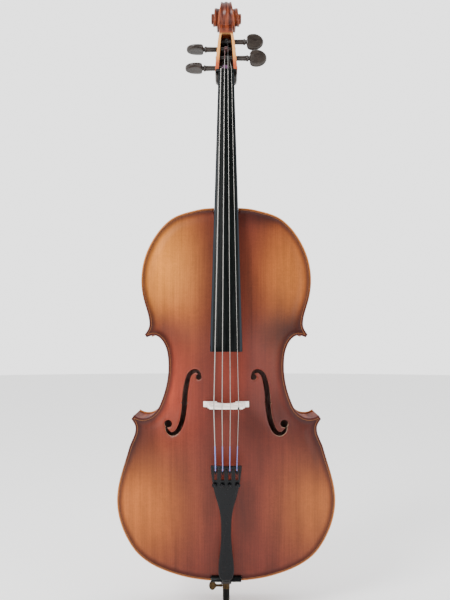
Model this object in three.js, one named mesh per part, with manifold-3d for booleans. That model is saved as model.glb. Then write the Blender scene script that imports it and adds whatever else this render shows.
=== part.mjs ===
// A full-size cello, upright on its endpin. Millimetres, +Z up, the belly towards -Y, the treble side
// towards +X. The origin is the worn end of the endpin's steel point. Heights in the body's own outline
// are counted from its lower edge, and BODY_BOTTOM lifts them into place.
import * as THREE from 'three';
import { mergeVertices } from 'three/addons/utils/BufferGeometryUtils.js';
import Module from 'manifold-3d';

const wasm = await Module();
wasm.setup();

// ---- driving dimensions ----
const GAP = 0.3;                    // air between pieces that touch
const BODY_BOTTOM = 62;             // lower plate edge above the endpin's point
const BODY_LENGTH = 755;
const RIB_DEPTH = 118;              // between the two plates
const RIB_THICKNESS = 1.6;
const EDGE_THICKNESS = 4.5;         // plate at its edge
const PLATE_THICKNESS = 4.5;        // plate anywhere else
const OVERHANG = 3.5;               // plate edge beyond the ribs
const CORNER_SETBACK = 7;           // rib ends short of the corner tips
const BELLY_RISE = 20.5;
const BACK_RISE = 22.5;
const LINING = { thickness: 2.5, depth: 14 };
const CORNER_BLOCK_REACH = 38;
const END_BLOCK = { half: 38, thick: 28 };
const NECK_BLOCK = { half: 50, thick: 32, mortise: 18 };
const HEEL_SLOT = 24.5;              // half width left for the neck's heel
const BUTTON = { half: 14, height: 22 };
const STOP = 360;                   // bridge line above the lower edge
const NECK_LENGTH = 280;            // body edge to nut
const BOARD = { slope: 0.1693, front: -97.5, end: 528, halfAtNut: 16, widen: 0.0272, radius: 62 };
const GLUE = { slope: 0.1604, front: -86.8 };   // plane between neck and fingerboard
const NUT = { height: 6.5, front: -51, half: 22 };
const CROWN = { front: -176, half: 32, radius: 68 };
const STRING_SPREAD = { nut: 7.2, bridge: 15.6 };  // between neighbouring strings
const TAILPIECE = { top: 308, tip: 70, front: -142, slope: 0.2269, radius: 60, skin: 4.5 };
const TUNER = {
  slotTop: 301, slotEnd: 279, slot: 5.6, width: 3.6, pivotZ: 294.7, pivotDeep: 7, screwZ: 270, screwHole: 1.9,
};
const GUT = { radius: 1.2, bore: 2.4, half: 7 };
const SADDLE = { half: 30.5, low: 62.3, high: 73, front: -73 };
const ROD = { radius: 5, top: 480, pointRadius: 2 };
const FERRULE = { radius: 7.8, low: 28.3, high: 39.4 };
const COLLAR = { flange: 11.6, neck: 9, plug: 12.5, plugTop: 100 };
const CLAMP_Z = 34;
const SCROLL = { y: 42, z: 1240, radius: 36 };

const RIB_HALF = RIB_DEPTH / 2;
const PLATE_FACE = RIB_HALF + EDGE_THICKNESS;
const BODY_TOP = BODY_BOTTOM + BODY_LENGTH;
const NUT_Z = BODY_TOP + NECK_LENGTH;
const BRIDGE_Z = BODY_BOTTOM + STOP;
const radians = THREE.MathUtils.degToRad;

// ---- finishes ----
const finish = (color, roughness, metalness = 0) =>
  new THREE.MeshStandardMaterial({ color, roughness, metalness });
const FINISHES = {
  spruce: finish(0x9a5a40, 0.4),
  maple: finish(0x96553f, 0.35),
  innerWood: finish(0xd8b98a, 0.8),
  ebony: finish(0x232628, 0.35),
  pegWood: finish(0x464442, 0.4),
  bridgeWood: finish(0xeeece8, 0.6),
  steel: finish(0xd7d2c8, 0.3, 0.9),
  brass: finish(0x6e5f46, 0.4, 0.8),
  composite: finish(0x282a2b, 0.5),
  rubber: finish(0x141414, 0.8),
  cord: finish(0x1c1c1e, 0.6),
};

const cello = new THREE.Group();

function add(name, geometry, material) {
  const mesh = new THREE.Mesh(geometry, material);
  mesh.name = name;
  cello.add(mesh);
}

// ---- solids ----
function bare(geometry) {
  geometry.deleteAttribute('normal');
  geometry.deleteAttribute('uv');
  return mergeVertices(geometry);
}

function toSolid(geometry) {
  const merged = bare(geometry.clone());
  return new wasm.Manifold(new wasm.Mesh({
    numProp: 3,
    vertProperties: new Float32Array(merged.attributes.position.array),
    triVerts: new Uint32Array(merged.index.array),
  }));
}

function toGeometry(solid) {
  const mesh = solid.getMesh();
  const geometry = new THREE.BufferGeometry();
  geometry.setAttribute('position', new THREE.BufferAttribute(new Float32Array(mesh.vertProperties), 3));
  geometry.setIndex(new THREE.BufferAttribute(new Uint32Array(mesh.triVerts), 1));
  return geometry;
}

function cut(geometry, ...tools) {
  return toGeometry(tools.reduce((body, tool) => body.subtract(toSolid(tool)), toSolid(geometry)));
}

function join(geometry, ...others) {
  return toGeometry(others.reduce((body, other) => body.add(toSolid(other)), toSolid(geometry)));
}

// prism of an outline drawn in x and z, between two depths
function slab(outline, yFront, yBack) {
  const shape = new THREE.Shape(outline.map(([x, z]) => new THREE.Vector2(x, z)));
  const geometry = new THREE.ExtrudeGeometry(shape, { depth: yBack - yFront, bevelEnabled: false });
  return geometry.rotateX(Math.PI / 2).translate(0, yBack, 0);
}

// prism of an outline drawn in y and z, between two x
function sideSlab(outline, xLow, xHigh) {
  const shape = new THREE.Shape(outline.map(([y, z]) => new THREE.Vector2(y, z)));
  const geometry = new THREE.ExtrudeGeometry(shape, { depth: xHigh - xLow, bevelEnabled: false });
  const turn = new THREE.Matrix4().makeBasis(
    new THREE.Vector3(0, 1, 0), new THREE.Vector3(0, 0, 1), new THREE.Vector3(1, 0, 0));
  return geometry.applyMatrix4(turn).translate(xLow, 0, 0);
}

function block(xLow, xHigh, yLow, yHigh, zLow, zHigh) {
  return new THREE.BoxGeometry(xHigh - xLow, yHigh - yLow, zHigh - zLow)
    .translate((xLow + xHigh) / 2, (yLow + yHigh) / 2, (zLow + zHigh) / 2);
}

function barAlongX(radius, xLow, xHigh, y, z, sides = 20) {
  return new THREE.CylinderGeometry(radius, radius, xHigh - xLow, sides)
    .rotateZ(-Math.PI / 2).translate((xLow + xHigh) / 2, y, z);
}

// body turned about +Z from [radius, z] pairs
function turned(profile, sides = 20) {
  const points = profile.map(([r, z]) => new THREE.Vector2(r, z));
  return new THREE.LatheGeometry(points, sides).rotateX(Math.PI / 2);
}

function signedVolume(points, faces) {
  let sum = 0;
  for (let i = 0; i < faces.length; i += 3) {
    const [a, b, c] = [points[faces[i]], points[faces[i + 1]], points[faces[i + 2]]];
    sum += a[0] * (b[1] * c[2] - b[2] * c[1]) + a[1] * (b[2] * c[0] - b[0] * c[2])
      + a[2] * (b[0] * c[1] - b[1] * c[0]);
  }
  return sum / 6;
}

function fromFaces(points, faces) {
  const outward = signedVolume(points, faces) > 0;
  const index = [];
  for (let i = 0; i < faces.length; i += 3) {
    index.push(faces[i], faces[i + (outward ? 1 : 2)], faces[i + (outward ? 2 : 1)]);
  }
  const geometry = new THREE.BufferGeometry();
  geometry.setAttribute('position', new THREE.Float32BufferAttribute(points.flat(), 3));
  geometry.setIndex(index);
  return geometry;
}

// closed skin through rings of equally many points, with a fan over each end
function loft(rings) {
  const count = rings[0].length;
  const points = rings.flat();
  const faces = [];
  for (let r = 0; r + 1 < rings.length; r++) {
    for (let i = 0; i < count; i++) {
      const a = r * count + i;
      const b = r * count + (i + 1) % count;
      faces.push(a, b, b + count, a, b + count, a + count);
    }
  }
  [0, rings.length - 1].forEach((r, last) => {
    const ring = rings[r];
    const hub = points.length;
    points.push([0, 1, 2].map((axis) => ring.reduce((sum, p) => sum + p[axis], 0) / count));
    for (let i = 0; i < count; i++) {
      const a = r * count + i;
      const b = r * count + (i + 1) % count;
      faces.push(...(last ? [hub, a, b] : [hub, b, a]));
    }
  });
  return fromFaces(points, faces);
}

// ---- outline of the plates ----
// Each knot is [half width, height above the lower edge, heading in degrees]. Between two knots runs the
// cubic whose handles follow from the headings by Hobby's rule, which is close to a circular arc.
const LOWER_BOUT = [[0, 0, 0], [100, 13, 17], [190, 69, 56], [221, 164, 90], [197, 268, 105],
  [183.5, 309, 90], [192, 328, 55]];
const CENTRE_BOUT = [[187, 336, 214], [169, 330, 180], [134, 357, 113], [117, 433, 90], [126, 481, 61],
  [147, 497, 0], [161, 493, -18]];
const UPPER_BOUT = [[165, 499, 128], [155.5, 520, 90], [164, 559, 73], [172, 608, 90], [155, 679, 117],
  [115, 730, 142], [60, 751, 166], [0, 755, 180]];

function handle(theta, phi) {
  const lean = Math.SQRT2 * (Math.sin(theta) - Math.sin(phi) / 16) * (Math.sin(phi) - Math.sin(theta) / 16)
    * (Math.cos(theta) - Math.cos(phi));
  const root = Math.sqrt(5);
  return (2 + lean) / (3 * (1 + (root - 1) / 2 * Math.cos(theta) + (3 - root) / 2 * Math.cos(phi)));
}

function arcBetween([x0, z0, h0], [x1, z1, h1], steps) {
  const start = new THREE.Vector2(x0, z0);
  const end = new THREE.Vector2(x1, z1);
  const chord = end.clone().sub(start);
  const [from, to] = [radians(h0), radians(h1)];
  const turn = (angle) => Math.atan2(Math.sin(angle), Math.cos(angle));
  const theta = turn(from - chord.angle());
  const phi = turn(chord.angle() - to);
  const reach = (a, b) => chord.length() * handle(Math.abs(a), a * b < 0 ? -Math.abs(b) : Math.abs(b));
  const outward = new THREE.Vector2(Math.cos(from), Math.sin(from));
  const c1 = start.clone().add(outward.multiplyScalar(reach(theta, phi)));
  const c2 = end.clone().sub(new THREE.Vector2(Math.cos(to), Math.sin(to)).multiplyScalar(reach(phi, theta)));
  return new THREE.CubicBezierCurve(start, c1, c2, end).getPoints(steps).map((p) => [p.x, p.y]);
}

function through(knots, steps = 4) {
  const path = [[knots[0][0], knots[0][1]]];
  for (let i = 0; i + 1 < knots.length; i++) path.push(...arcBetween(knots[i], knots[i + 1], steps).slice(1));
  return path;
}

const lift = (path) => path.map(([x, z]) => [x, z + BODY_BOTTOM]);
const mirror = (path) => path.map(([x, z]) => [-x, z]).reverse();
const BOUTS = [['lower', lift(through(LOWER_BOUT))], ['centre', lift(through(CENTRE_BOUT))],
  ['upper', lift(through(UPPER_BOUT))]];
const RIGHT_SIDE = BOUTS.flatMap(([, path]) => path);
const PLATE_OUTLINE = [...RIGHT_SIDE, ...mirror(RIGHT_SIDE).slice(1, -1)];

// the same path moved towards the inside of the body
function inset(path, distance) {
  return path.map(([x, z], i) => {
    const [a, b] = [path[Math.max(i - 1, 0)], path[Math.min(i + 1, path.length - 1)]];
    const [dx, dz] = [b[0] - a[0], b[1] - a[1]];
    const length = Math.hypot(dx, dz);
    return [x - dz / length * distance, z + dx / length * distance];
  });
}

// the stretch of a path between two lengths counted along it
function stretch(path, from, to) {
  const places = [0];
  for (let i = 1; i < path.length; i++) {
    places.push(places[i - 1] + Math.hypot(path[i][0] - path[i - 1][0], path[i][1] - path[i - 1][1]));
  }
  const at = (length) => {
    const i = Math.min(Math.max(places.findIndex((p) => p >= length), 1), path.length - 1);
    const t = (length - places[i - 1]) / (places[i] - places[i - 1]);
    return [0, 1].map((k) => path[i - 1][k] + (path[i][k] - path[i - 1][k]) * t);
  };
  return [at(from), ...path.filter((_, i) => places[i] > from + 1 && places[i] < to - 1), at(to)];
}

function pathLength(path) {
  const step = (p, q) => Math.hypot(p[0] - q[0], p[1] - q[1]);
  return path.reduce((sum, p, i) => (i ? sum + step(p, path[i - 1]) : 0), 0);
}

// ---- arching ----
const smooth = (value, low, high) => THREE.MathUtils.smoothstep(value, low, high);
const swell = (t, fullness) => (t >= 1 ? 0 : (Math.cos(Math.PI * t ** fullness) + 1) / 2);

function archHalf(z) {
  const h = z - BODY_BOTTOM;
  return 113 + 100 * (1 - smooth(h, 250, 375)) + 52 * smooth(h, 475, 560);
}

function arch(x, z, rise) {
  const along = Math.abs(z - BODY_BOTTOM - BODY_LENGTH / 2) / (BODY_LENGTH / 2);
  return rise * swell(along, 1.7) * swell(Math.abs(x) / archHalf(z), 1.25);
}

const bellyOutside = (x, z) => -PLATE_FACE - arch(x, z, BELLY_RISE);
const bellyInside = (x, z) => Math.min(bellyOutside(x, z) + PLATE_THICKNESS, -RIB_HALF);
const backOutside = (x, z) => PLATE_FACE + arch(x, z, BACK_RISE);
const backInside = (x, z) => Math.max(backOutside(x, z) - PLATE_THICKNESS, RIB_HALF);

// closed sheet between two surfaces over a grid that covers the whole plate
function sheet(front, back) {
  const columns = Array.from({ length: 21 }, (_, i) => -240 + 24 * i);
  const rows = Array.from({ length: 27 }, (_, i) => BODY_BOTTOM - 15 + 31 * i);
  const points = [front, back].flatMap((depth) =>
    rows.flatMap((z) => columns.map((x) => [x, depth(x, z), z])));
  const at = (side, row, column) => (side * rows.length + row) * columns.length + column;
  const faces = [];
  for (let side = 0; side < 2; side++) {
    for (let r = 0; r + 1 < rows.length; r++) {
      for (let c = 0; c + 1 < columns.length; c++) {
        const corners = [at(side, r, c), at(side, r, c + 1), at(side, r + 1, c + 1), at(side, r + 1, c)];
        const [p, q, s, t] = side ? [...corners].reverse() : corners;
        faces.push(p, q, s, p, s, t);
      }
    }
  }
  const rim = [
    ...columns.slice(0, -1).map((_, c) => [0, c]),
    ...rows.slice(0, -1).map((_, r) => [r, columns.length - 1]),
    ...columns.slice(1).map((_, c) => [rows.length - 1, columns.length - 1 - c]),
    ...rows.slice(1).map((_, r) => [rows.length - 1 - r, 0]),
  ];
  rim.forEach(([r, c], i) => {
    const [r2, c2] = rim[(i + 1) % rim.length];
    faces.push(at(0, r2, c2), at(0, r, c), at(1, r, c), at(0, r2, c2), at(1, r, c), at(1, r2, c2));
  });
  return fromFaces(points, faces);
}

function intersect(a, b) {
  return toGeometry(toSolid(a).intersect(toSolid(b)));
}

// ---- f-holes ----
// Half spacing and height above the lower edge; the stem's knots add the width of the slit there.
const F_HOLE = {
  upperEye: { x: 55.2, h: 413.6, radius: 5.8 },
  lowerEye: { x: 117.2, h: 318.8, radius: 7.8 },
  stem: [[51.5, 417, 4], [57.5, 424.5, 7], [66, 425, 8], [74.6, 417, 8.8], [79.4, 401, 10], [83, 378, 10.6],
    [84.8, 350, 10.4], [89, 325, 9.8], [97, 306, 9], [108, 298.5, 8], [117, 303, 7], [122, 312, 4]],
};

function fHole(side) {
  const stem = F_HOLE.stem.map(([x, h]) => new THREE.Vector2(side * x, h + BODY_BOTTOM));
  const spine = new THREE.SplineCurve(stem);
  const steps = 20;
  const edge = (sign) => Array.from({ length: steps + 1 }, (_, i) => {
    const t = i / steps;
    const p = spine.getPoint(t);
    const along = spine.getTangent(t);
    const place = t * (F_HOLE.stem.length - 1);
    const k = Math.min(Math.floor(place), F_HOLE.stem.length - 2);
    const width = THREE.MathUtils.lerp(F_HOLE.stem[k][2], F_HOLE.stem[k + 1][2], place - k);
    return [p.x - sign * along.y * width / 2, p.y + sign * along.x * width / 2];
  });
  const slit = [...edge(1), ...edge(-1).reverse()];
  const eye = ({ x, h, radius }) => new THREE.CylinderGeometry(radius, radius, 60, 14)
    .translate(side * x, -75, h + BODY_BOTTOM);
  return [slab(slit, -105, -45), eye(F_HOLE.upperEye), eye(F_HOLE.lowerEye)];
}

// ---- body ----
function addPlates() {
  const slotFloor = BODY_TOP - NECK_BLOCK.mortise - GAP;
  const neckSlot = block(-HEEL_SLOT, HEEL_SLOT, -120, -50, slotFloor, BODY_TOP + 20);
  const saddleSlot = block(-SADDLE.half - GAP, SADDLE.half + GAP, -120, -50, 40, SADDLE.high + GAP);
  const belly = intersect(sheet(bellyOutside, bellyInside), slab(PLATE_OUTLINE, -120, 0));
  add('top_plate', cut(belly, neckSlot, saddleSlot, ...fHole(1), ...fHole(-1)), FINISHES.spruce);

  const button = slab(Array.from({ length: 13 }, (_, i) => {
    const angle = Math.PI * i / 12;
    const centre = BODY_TOP + BUTTON.height - BUTTON.half;
    return [BUTTON.half * Math.cos(angle), centre + BUTTON.half * Math.sin(angle)];
  }).concat([[-BUTTON.half, BODY_TOP - 6], [BUTTON.half, BODY_TOP - 6]]), RIB_HALF, PLATE_FACE);
  const back = intersect(sheet(backInside, backOutside), slab(PLATE_OUTLINE, 0, 120));
  add('back_plate', join(back, button), FINISHES.maple);
}

const [LOWER_PATH, CENTRE_PATH, UPPER_PATH] = BOUTS.map(([, path]) => path);
const RIB_SPANS = {
  lower: {
    path: LOWER_PATH, from: COLLAR.plug + GAP, to: CORNER_SETBACK,
    blockFrom: END_BLOCK.half, blockTo: CORNER_BLOCK_REACH,
  },
  centre: {
    path: CENTRE_PATH, from: CORNER_SETBACK, to: CORNER_SETBACK,
    blockFrom: CORNER_BLOCK_REACH, blockTo: CORNER_BLOCK_REACH,
  },
  upper: {
    path: UPPER_PATH, from: CORNER_SETBACK, to: HEEL_SLOT + GAP,
    blockFrom: CORNER_BLOCK_REACH, blockTo: NECK_BLOCK.half,
  },
};

// a bent strip of wood just inside the plate outline
function strip(path, from, to, depthIn, thickness, yFront, yBack) {
  const outside = inset(path, depthIn);
  const inside = inset(path, depthIn + thickness);
  const outer = stretch(outside, from, pathLength(outside) - to);
  const inner = stretch(inside, from, pathLength(inside) - to);
  return slab([...outer, ...inner.reverse()], yFront, yBack);
}

const SIDES = [['treble', 1], ['bass', -1]];
const onSide = (geometry, side) => (side > 0 ? geometry : flipX(geometry));

function flipX(geometry) {
  const turnedOver = bare(geometry);
  turnedOver.scale(-1, 1, 1);
  const index = turnedOver.index.array;
  for (let i = 0; i < index.length; i += 3) [index[i], index[i + 1]] = [index[i + 1], index[i]];
  return turnedOver;
}

function addRibsAndLinings() {
  const reach = RIB_HALF - GAP;
  for (const [bout, span] of Object.entries(RIB_SPANS)) {
    for (const [sideName, side] of SIDES) {
      const rib = strip(span.path, span.from, span.to, OVERHANG, RIB_THICKNESS, -reach, reach);
      add(`${bout}_rib_${sideName}`, onSide(rib, side), FINISHES.maple);
      for (const [plate, yFront] of [['front', -reach], ['back', reach - LINING.depth]]) {
        const lining = strip(span.path, span.blockFrom + 4, span.blockTo + 4,
          OVERHANG + RIB_THICKNESS + GAP, LINING.thickness, yFront, yFront + LINING.depth);
        add(`${bout}_lining_${plate}_${sideName}`, onSide(lining, side), FINISHES.innerWood);
      }
    }
  }
}

function addBlocks() {
  const reach = RIB_HALF - GAP;
  const depthIn = OVERHANG + RIB_THICKNESS + GAP;
  const tail = (path) => {
    const whole = pathLength(path);
    return stretch(path, whole - CORNER_BLOCK_REACH, whole - CORNER_SETBACK - 4);
  };
  const head = (path) => stretch(path, CORNER_SETBACK + 4, CORNER_BLOCK_REACH);
  const corners = [
    ['lower', [...tail(inset(LOWER_PATH, depthIn)), ...head(inset(CENTRE_PATH, depthIn))]],
    ['upper', [...tail(inset(CENTRE_PATH, depthIn)), ...head(inset(UPPER_PATH, depthIn))]],
  ];
  for (const [name, outline] of corners) {
    for (const [sideName, side] of SIDES) {
      add(`${name}_corner_block_${sideName}`, onSide(slab(outline, -reach, reach), side), FINISHES.innerWood);
    }
  }

  const half = (path, from, to) => stretch(inset(path, depthIn), from, to);
  const foot = half(LOWER_PATH, 0, END_BLOCK.half);
  const footShape = [...mirror(foot), ...foot.slice(1),
    [foot.at(-1)[0], BODY_BOTTOM + depthIn + END_BLOCK.thick],
    [-foot.at(-1)[0], BODY_BOTTOM + depthIn + END_BLOCK.thick]];
  const plugHole = turned([[0, 50], [COLLAR.plug + 1, 50], [COLLAR.plug + 1, 120], [0, 120]]);
  add('end_block', cut(slab(footShape, -reach, reach), plugHole), FINISHES.innerWood);

  const length = pathLength(inset(UPPER_PATH, depthIn));
  const crown = half(UPPER_PATH, length - NECK_BLOCK.half, length);
  const floor = BODY_TOP - depthIn - NECK_BLOCK.thick;
  const headShape = [[crown[0][0], floor], ...crown, ...mirror(crown).slice(1), [-crown[0][0], floor]];
  const mortiseFloor = BODY_TOP - NECK_BLOCK.mortise - GAP;
  const mortise = block(-HEEL_SLOT + GAP, HEEL_SLOT - GAP, -90, 90, mortiseFloor, BODY_TOP + 20);
  add('neck_block', cut(slab(headShape, -reach, reach), mortise), FINISHES.innerWood);
}

function addBassBar() {
  const [xLow, xHigh, zLow, zHigh, deepest] = [-33, -23, BODY_BOTTOM + 95, BODY_BOTTOM + 665, 24];
  const steps = 24;
  const upper = Array.from({ length: steps + 1 }, (_, i) => {
    const z = zLow + (zHigh - zLow) * i / steps;
    return [bellyInside(xLow, z) + 1.2, z];
  });
  const lower = upper.map(([y, z], i) => [y + 4 + (deepest - 4) * Math.sin(Math.PI * i / steps) ** 1.3, z]);
  add('bass_bar', sideSlab([...upper, ...lower.reverse()], xLow, xHigh), FINISHES.innerWood);
}

function addSoundPost() {
  const [x, z, radius, clear] = [26, BRIDGE_Z - 14, 5.5, 1.2];
  const front = bellyInside(x + radius, z) + clear;
  const back = backInside(x + radius, z) - clear;
  const post = new THREE.CylinderGeometry(radius, radius, back - front, 20)
    .translate(x, (front + back) / 2, z);
  add('sound_post', post, FINISHES.innerWood);
}

// ---- neck, pegbox and scroll ----
const boardFront = (z) => BOARD.front + BOARD.slope * (z - BODY_TOP);
const boardHalf = (z) => BOARD.halfAtNut + BOARD.widen * (NUT_Z - z);
const gluePlane = (z) => GLUE.front + GLUE.slope * (z - BODY_TOP);

// stations of the handle and heel: height, half width, back of the wood, squareness of the section
const NECK_STATIONS = [
  [BODY_TOP - NECK_BLOCK.mortise, 22.6, RIB_HALF - GAP, 0.45], [BODY_TOP + 2, 22.8, RIB_HALF - GAP, 0.5],
  [BODY_TOP + 20, 22.6, RIB_HALF - GAP, 0.55],
  [BODY_TOP + 25, 22.5, 46, 0.6], [BODY_TOP + 30, 22.4, 20, 0.65],
  [BODY_TOP + 36, 22.2, -10, 0.7], [BODY_TOP + 44, 22, -34, 0.75], [BODY_TOP + 56, 21.7, -50, 0.8],
  [BODY_TOP + 75, 21.2, -53.5, 0.85], [BODY_TOP + 160, 18.9, -39.5, 0.85],
  [BODY_TOP + 240, 16.8, -28.5, 0.85],
  [BODY_TOP + 266, 16.2, -24, 0.85], [BODY_TOP + 273, 16.2, -20, 0.85],
];

function neckRing([z, half, back, square]) {
  const front = gluePlane(z);
  return Array.from({ length: 13 }, (_, i) => {
    const angle = Math.PI * i / 12;
    return [-half * Math.cos(angle), front + (back - front) * Math.sin(angle) ** square, z];
  });
}

// pegbox stations: front edge, back edge (each y, z) and half width
const PEGBOX_STATIONS = [
  [[-42.6, 1089], [-21, 1080], 16], [[-40.2, 1104], [-6, 1080], 23], [[-36, 1116], [6, 1097], 22.3],
  [[-27, 1136], [18, 1117], 21], [[-14, 1161], [33, 1142], 18.8], [[-1, 1184], [48, 1167], 16.6],
  [[10, 1199], [60, 1188], 15], [[14, 1215], [72, 1212], 14],
];
const CAVITY_STATIONS = [
  [[-46, 1107], [-16, 1096], 14], [[-32, 1138], [8, 1121], 12.3], [[-19, 1163], [23, 1146], 11],
  [[-6, 1186], [37, 1171], 9.3], [[3, 1196], [42, 1183], 7.8],
];
const PEGBOX_SECTION = [[-1, 0], [1, 0], [1, 0.7], [0.8, 0.93], [0.4, 1], [-0.4, 1], [-0.8, 0.93], [-1, 0.7]];
const CAVITY_SECTION = [[-1, 0], [1, 0], [1, 1], [-1, 1]];

function boxLoft(stations, section) {
  return loft(stations.map(([front, back, half]) => section.map(([across, deep]) => [
    across * half, THREE.MathUtils.lerp(front[0], back[0], deep),
    THREE.MathUtils.lerp(front[1], back[1], deep)])));
}

// pegs: which side the head is on, the axis (y, z), the outside of the wall, how the head is turned, and how
// much further out than the others it sits
const PEGS = [
  { name: 'peg_c', side: -1, y: -22, z: 1112, wall: 22.4, lean: 72, out: 0.5 },
  { name: 'peg_g', side: -1, y: 4.5, z: 1160, wall: 18.9, lean: 75, out: -1 },
  { name: 'peg_d', side: 1, y: 19, z: 1181, wall: 16.8, lean: 0, out: -5.5 },
  { name: 'peg_a', side: 1, y: -11, z: 1136.5, wall: 21, lean: 8, out: 0 },
];
const PEG = { farRadius: 4.5, nearRadius: 5.5, collarAt: 42, collarRadius: 6.6, headAt: 49, headThick: 13 };

// tapered shaft from the far wall to the collar, grown by a clearance when it cuts the holes
function pegShaft({ side, y, z, wall, out }, grow = 0, past = 1) {
  const collarAt = PEG.collarAt + out;
  const profile = [[0, -wall - past], [PEG.farRadius + grow, -wall - past], [PEG.nearRadius + grow, collarAt],
    [0, collarAt]];
  return turned(profile, 14).rotateY(side * Math.PI / 2).translate(0, y, z);
}

function addNeck() {
  const discs = [[SCROLL.radius, 13], [26, 22], [16, 28], [9, 32.5]]
    .map(([radius, half]) => barAlongX(radius, -half, half, SCROLL.y, SCROLL.z - 1, 24));
  const whole = join(loft(NECK_STATIONS.map(neckRing)), boxLoft(PEGBOX_STATIONS, PEGBOX_SECTION), ...discs);
  const holes = PEGS.map((peg) => pegShaft(peg, GAP, 20));
  add('neck', cut(whole, boxLoft(CAVITY_STATIONS, CAVITY_SECTION), ...holes), FINISHES.maple);
}

function addPegs() {
  const heart = new THREE.Shape();
  heart.moveTo(0, -10);
  heart.bezierCurveTo(0, -15, 5, -17.5, 13, -17.5);
  heart.bezierCurveTo(25, -17.5, 35.5, -12, 35.5, -3);
  heart.lineTo(35.5, 3);
  heart.bezierCurveTo(35.5, 12, 25, 17.5, 13, 17.5);
  heart.bezierCurveTo(5, 17.5, 0, 15, 0, 10);
  for (const peg of PEGS) {
    const { side, y, z, lean, out } = peg;
    const collarSide = [[0, 41.5], [PEG.collarRadius, 41.5], [PEG.collarRadius, 46],
      [5, 47], [4.6, 52], [0, 52]];
    const collar = turned(collarSide, 14)
      .translate(0, 0, out).rotateY(side * Math.PI / 2).translate(0, y, z);
    const head = new THREE.ExtrudeGeometry(heart, { depth: PEG.headThick - 4, bevelSize: 2, bevelThickness: 2,
      bevelOffset: -2, bevelSegments: 1, curveSegments: 4 }).translate(0, 0, 2 - PEG.headThick / 2)
      .rotateX(Math.PI / 2 + radians(lean)).translate(PEG.headAt + out, 0, 0);
    if (side < 0) head.rotateZ(Math.PI);
    head.translate(0, y, z);
    add(peg.name, join(pegShaft(peg), collar, head), FINISHES.pegWood);
  }
}

// ---- fingerboard, nut, saddle ----
function boardRing(z) {
  const half = boardHalf(z);
  const top = Array.from({ length: 9 }, (_, i) => {
    const x = half * (i / 4 - 1);
    return [x, boardFront(z) + x * x / (2 * BOARD.radius), z];
  });
  const under = gluePlane(z) - GAP;
  return [...top, [half, under, z], [0, under, z], [-half, under, z]];
}

function addFingerboard() {
  const board = loft([NUT_Z - GAP, BODY_TOP, BOARD.end].map(boardRing));
  const scoopRing = (z, half) => [[-half, 6], [half, 6], [half * 0.7, -3.5], [-half * 0.7, -3.5]]
    .map(([x, deep]) => [x, gluePlane(z) + deep, z]);
  const scoop = loft([scoopRing(BOARD.end - 5, 25), scoopRing(BODY_TOP - 25, 16)]);
  add('fingerboard', cut(board, scoop), FINISHES.ebony);
}

function addNut() {
  const half = NUT.half;
  const ring = (z, lower) => {
    const top = Array.from({ length: 7 }, (_, i) => {
      const x = half * (i / 3 - 1);
      return [x, NUT.front + lower + x * x / (2 * BOARD.radius), z];
    });
    return [...top, [half, gluePlane(z) - GAP, z], [-half, gluePlane(z) - GAP, z]];
  };
  const rings = [ring(NUT_Z, 0), ring(NUT_Z + NUT.height - 2, 0), ring(NUT_Z + NUT.height, 2.5)];
  add('nut', loft(rings), FINISHES.ebony);
}

function addSaddle() {
  const profile = [[-RIB_HALF - GAP, SADDLE.low], [SADDLE.front + 4, SADDLE.low],
    [SADDLE.front, SADDLE.low + 5],
    [SADDLE.front, SADDLE.high - 4.5], [SADDLE.front + 5, SADDLE.high], [-RIB_HALF - GAP, SADDLE.high]];
  add('saddle', sideSlab(profile, -SADDLE.half, SADDLE.half), FINISHES.ebony);
}

// ---- bridge ----
const crownFront = (x) => CROWN.front + x * x / (2 * CROWN.radius);

function addBridge() {
  const shape = new THREE.Shape();
  const foot = (x) => -bellyOutside(x, BRIDGE_Z) + GAP + 0.4;
  const crown = (x) => -crownFront(x);
  const edge = [[-45.5, foot(45.5)], [-32, foot(32)], [-18.5, foot(18.5)], [-19, foot(18.5) + 9]];
  const arch = new THREE.EllipseCurve(0, foot(18.5) + 9, 19, 20, Math.PI, 0, true);
  const archway = arch.getPoints(8).slice(1, -1).map((p) => [p.x, p.y]);
  const flank = [[45.5, foot(45.5) + 4], [38, foot(45.5) + 12], [33, 118], [36, 132], [31.5, 146],
    [CROWN.half, crown(CROWN.half)]];
  const right = [...edge.map(([x, y]) => [-x, y]).reverse(), ...flank];
  shape.setFromPoints([...edge, ...archway, ...right].map(([x, y]) => new THREE.Vector2(x, y)));
  for (let i = 1; i < 8; i++) shape.lineTo(CROWN.half * (1 - i / 4), crown(CROWN.half * (1 - i / 4)));
  flank.reverse().forEach(([x, y]) => shape.lineTo(-x, y));
  const hole = (points) => new THREE.Path(points.map(([x, y]) => new THREE.Vector2(x, y)));
  shape.holes.push(hole([[0, 128], [-9, 140], [-6, 150], [0, 146], [6, 150], [9, 140]]));
  shape.holes.push(hole([[13, 118], [28, 122], [28, 132], [19, 136]]));
  shape.holes.push(hole([[-13, 118], [-19, 136], [-28, 132], [-28, 122]]));
  const thick = { feet: 11.5, crown: 3 };
  const geometry = bare(new THREE.ExtrudeGeometry(shape, { depth: 1, bevelEnabled: false }));
  const position = geometry.attributes.position;
  for (let i = 0; i < position.count; i++) {
    const [x, height, side] = [position.getX(i), position.getY(i), position.getZ(i) - 0.5];
    const share = THREE.MathUtils.clamp((height - 84) / (-CROWN.front - 84), 0, 1);
    position.setXYZ(i, x, -height, BRIDGE_Z - side * THREE.MathUtils.lerp(thick.feet, thick.crown, share));
  }
  add('bridge', facedOutwards(geometry), FINISHES.bridgeWood);
}

function facedOutwards(geometry) {
  const { array, count } = geometry.attributes.position;
  const points = Array.from({ length: count }, (_, i) => Array.from(array.slice(3 * i, 3 * i + 3)));
  return fromFaces(points, Array.from(geometry.index.array));
}

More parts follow.
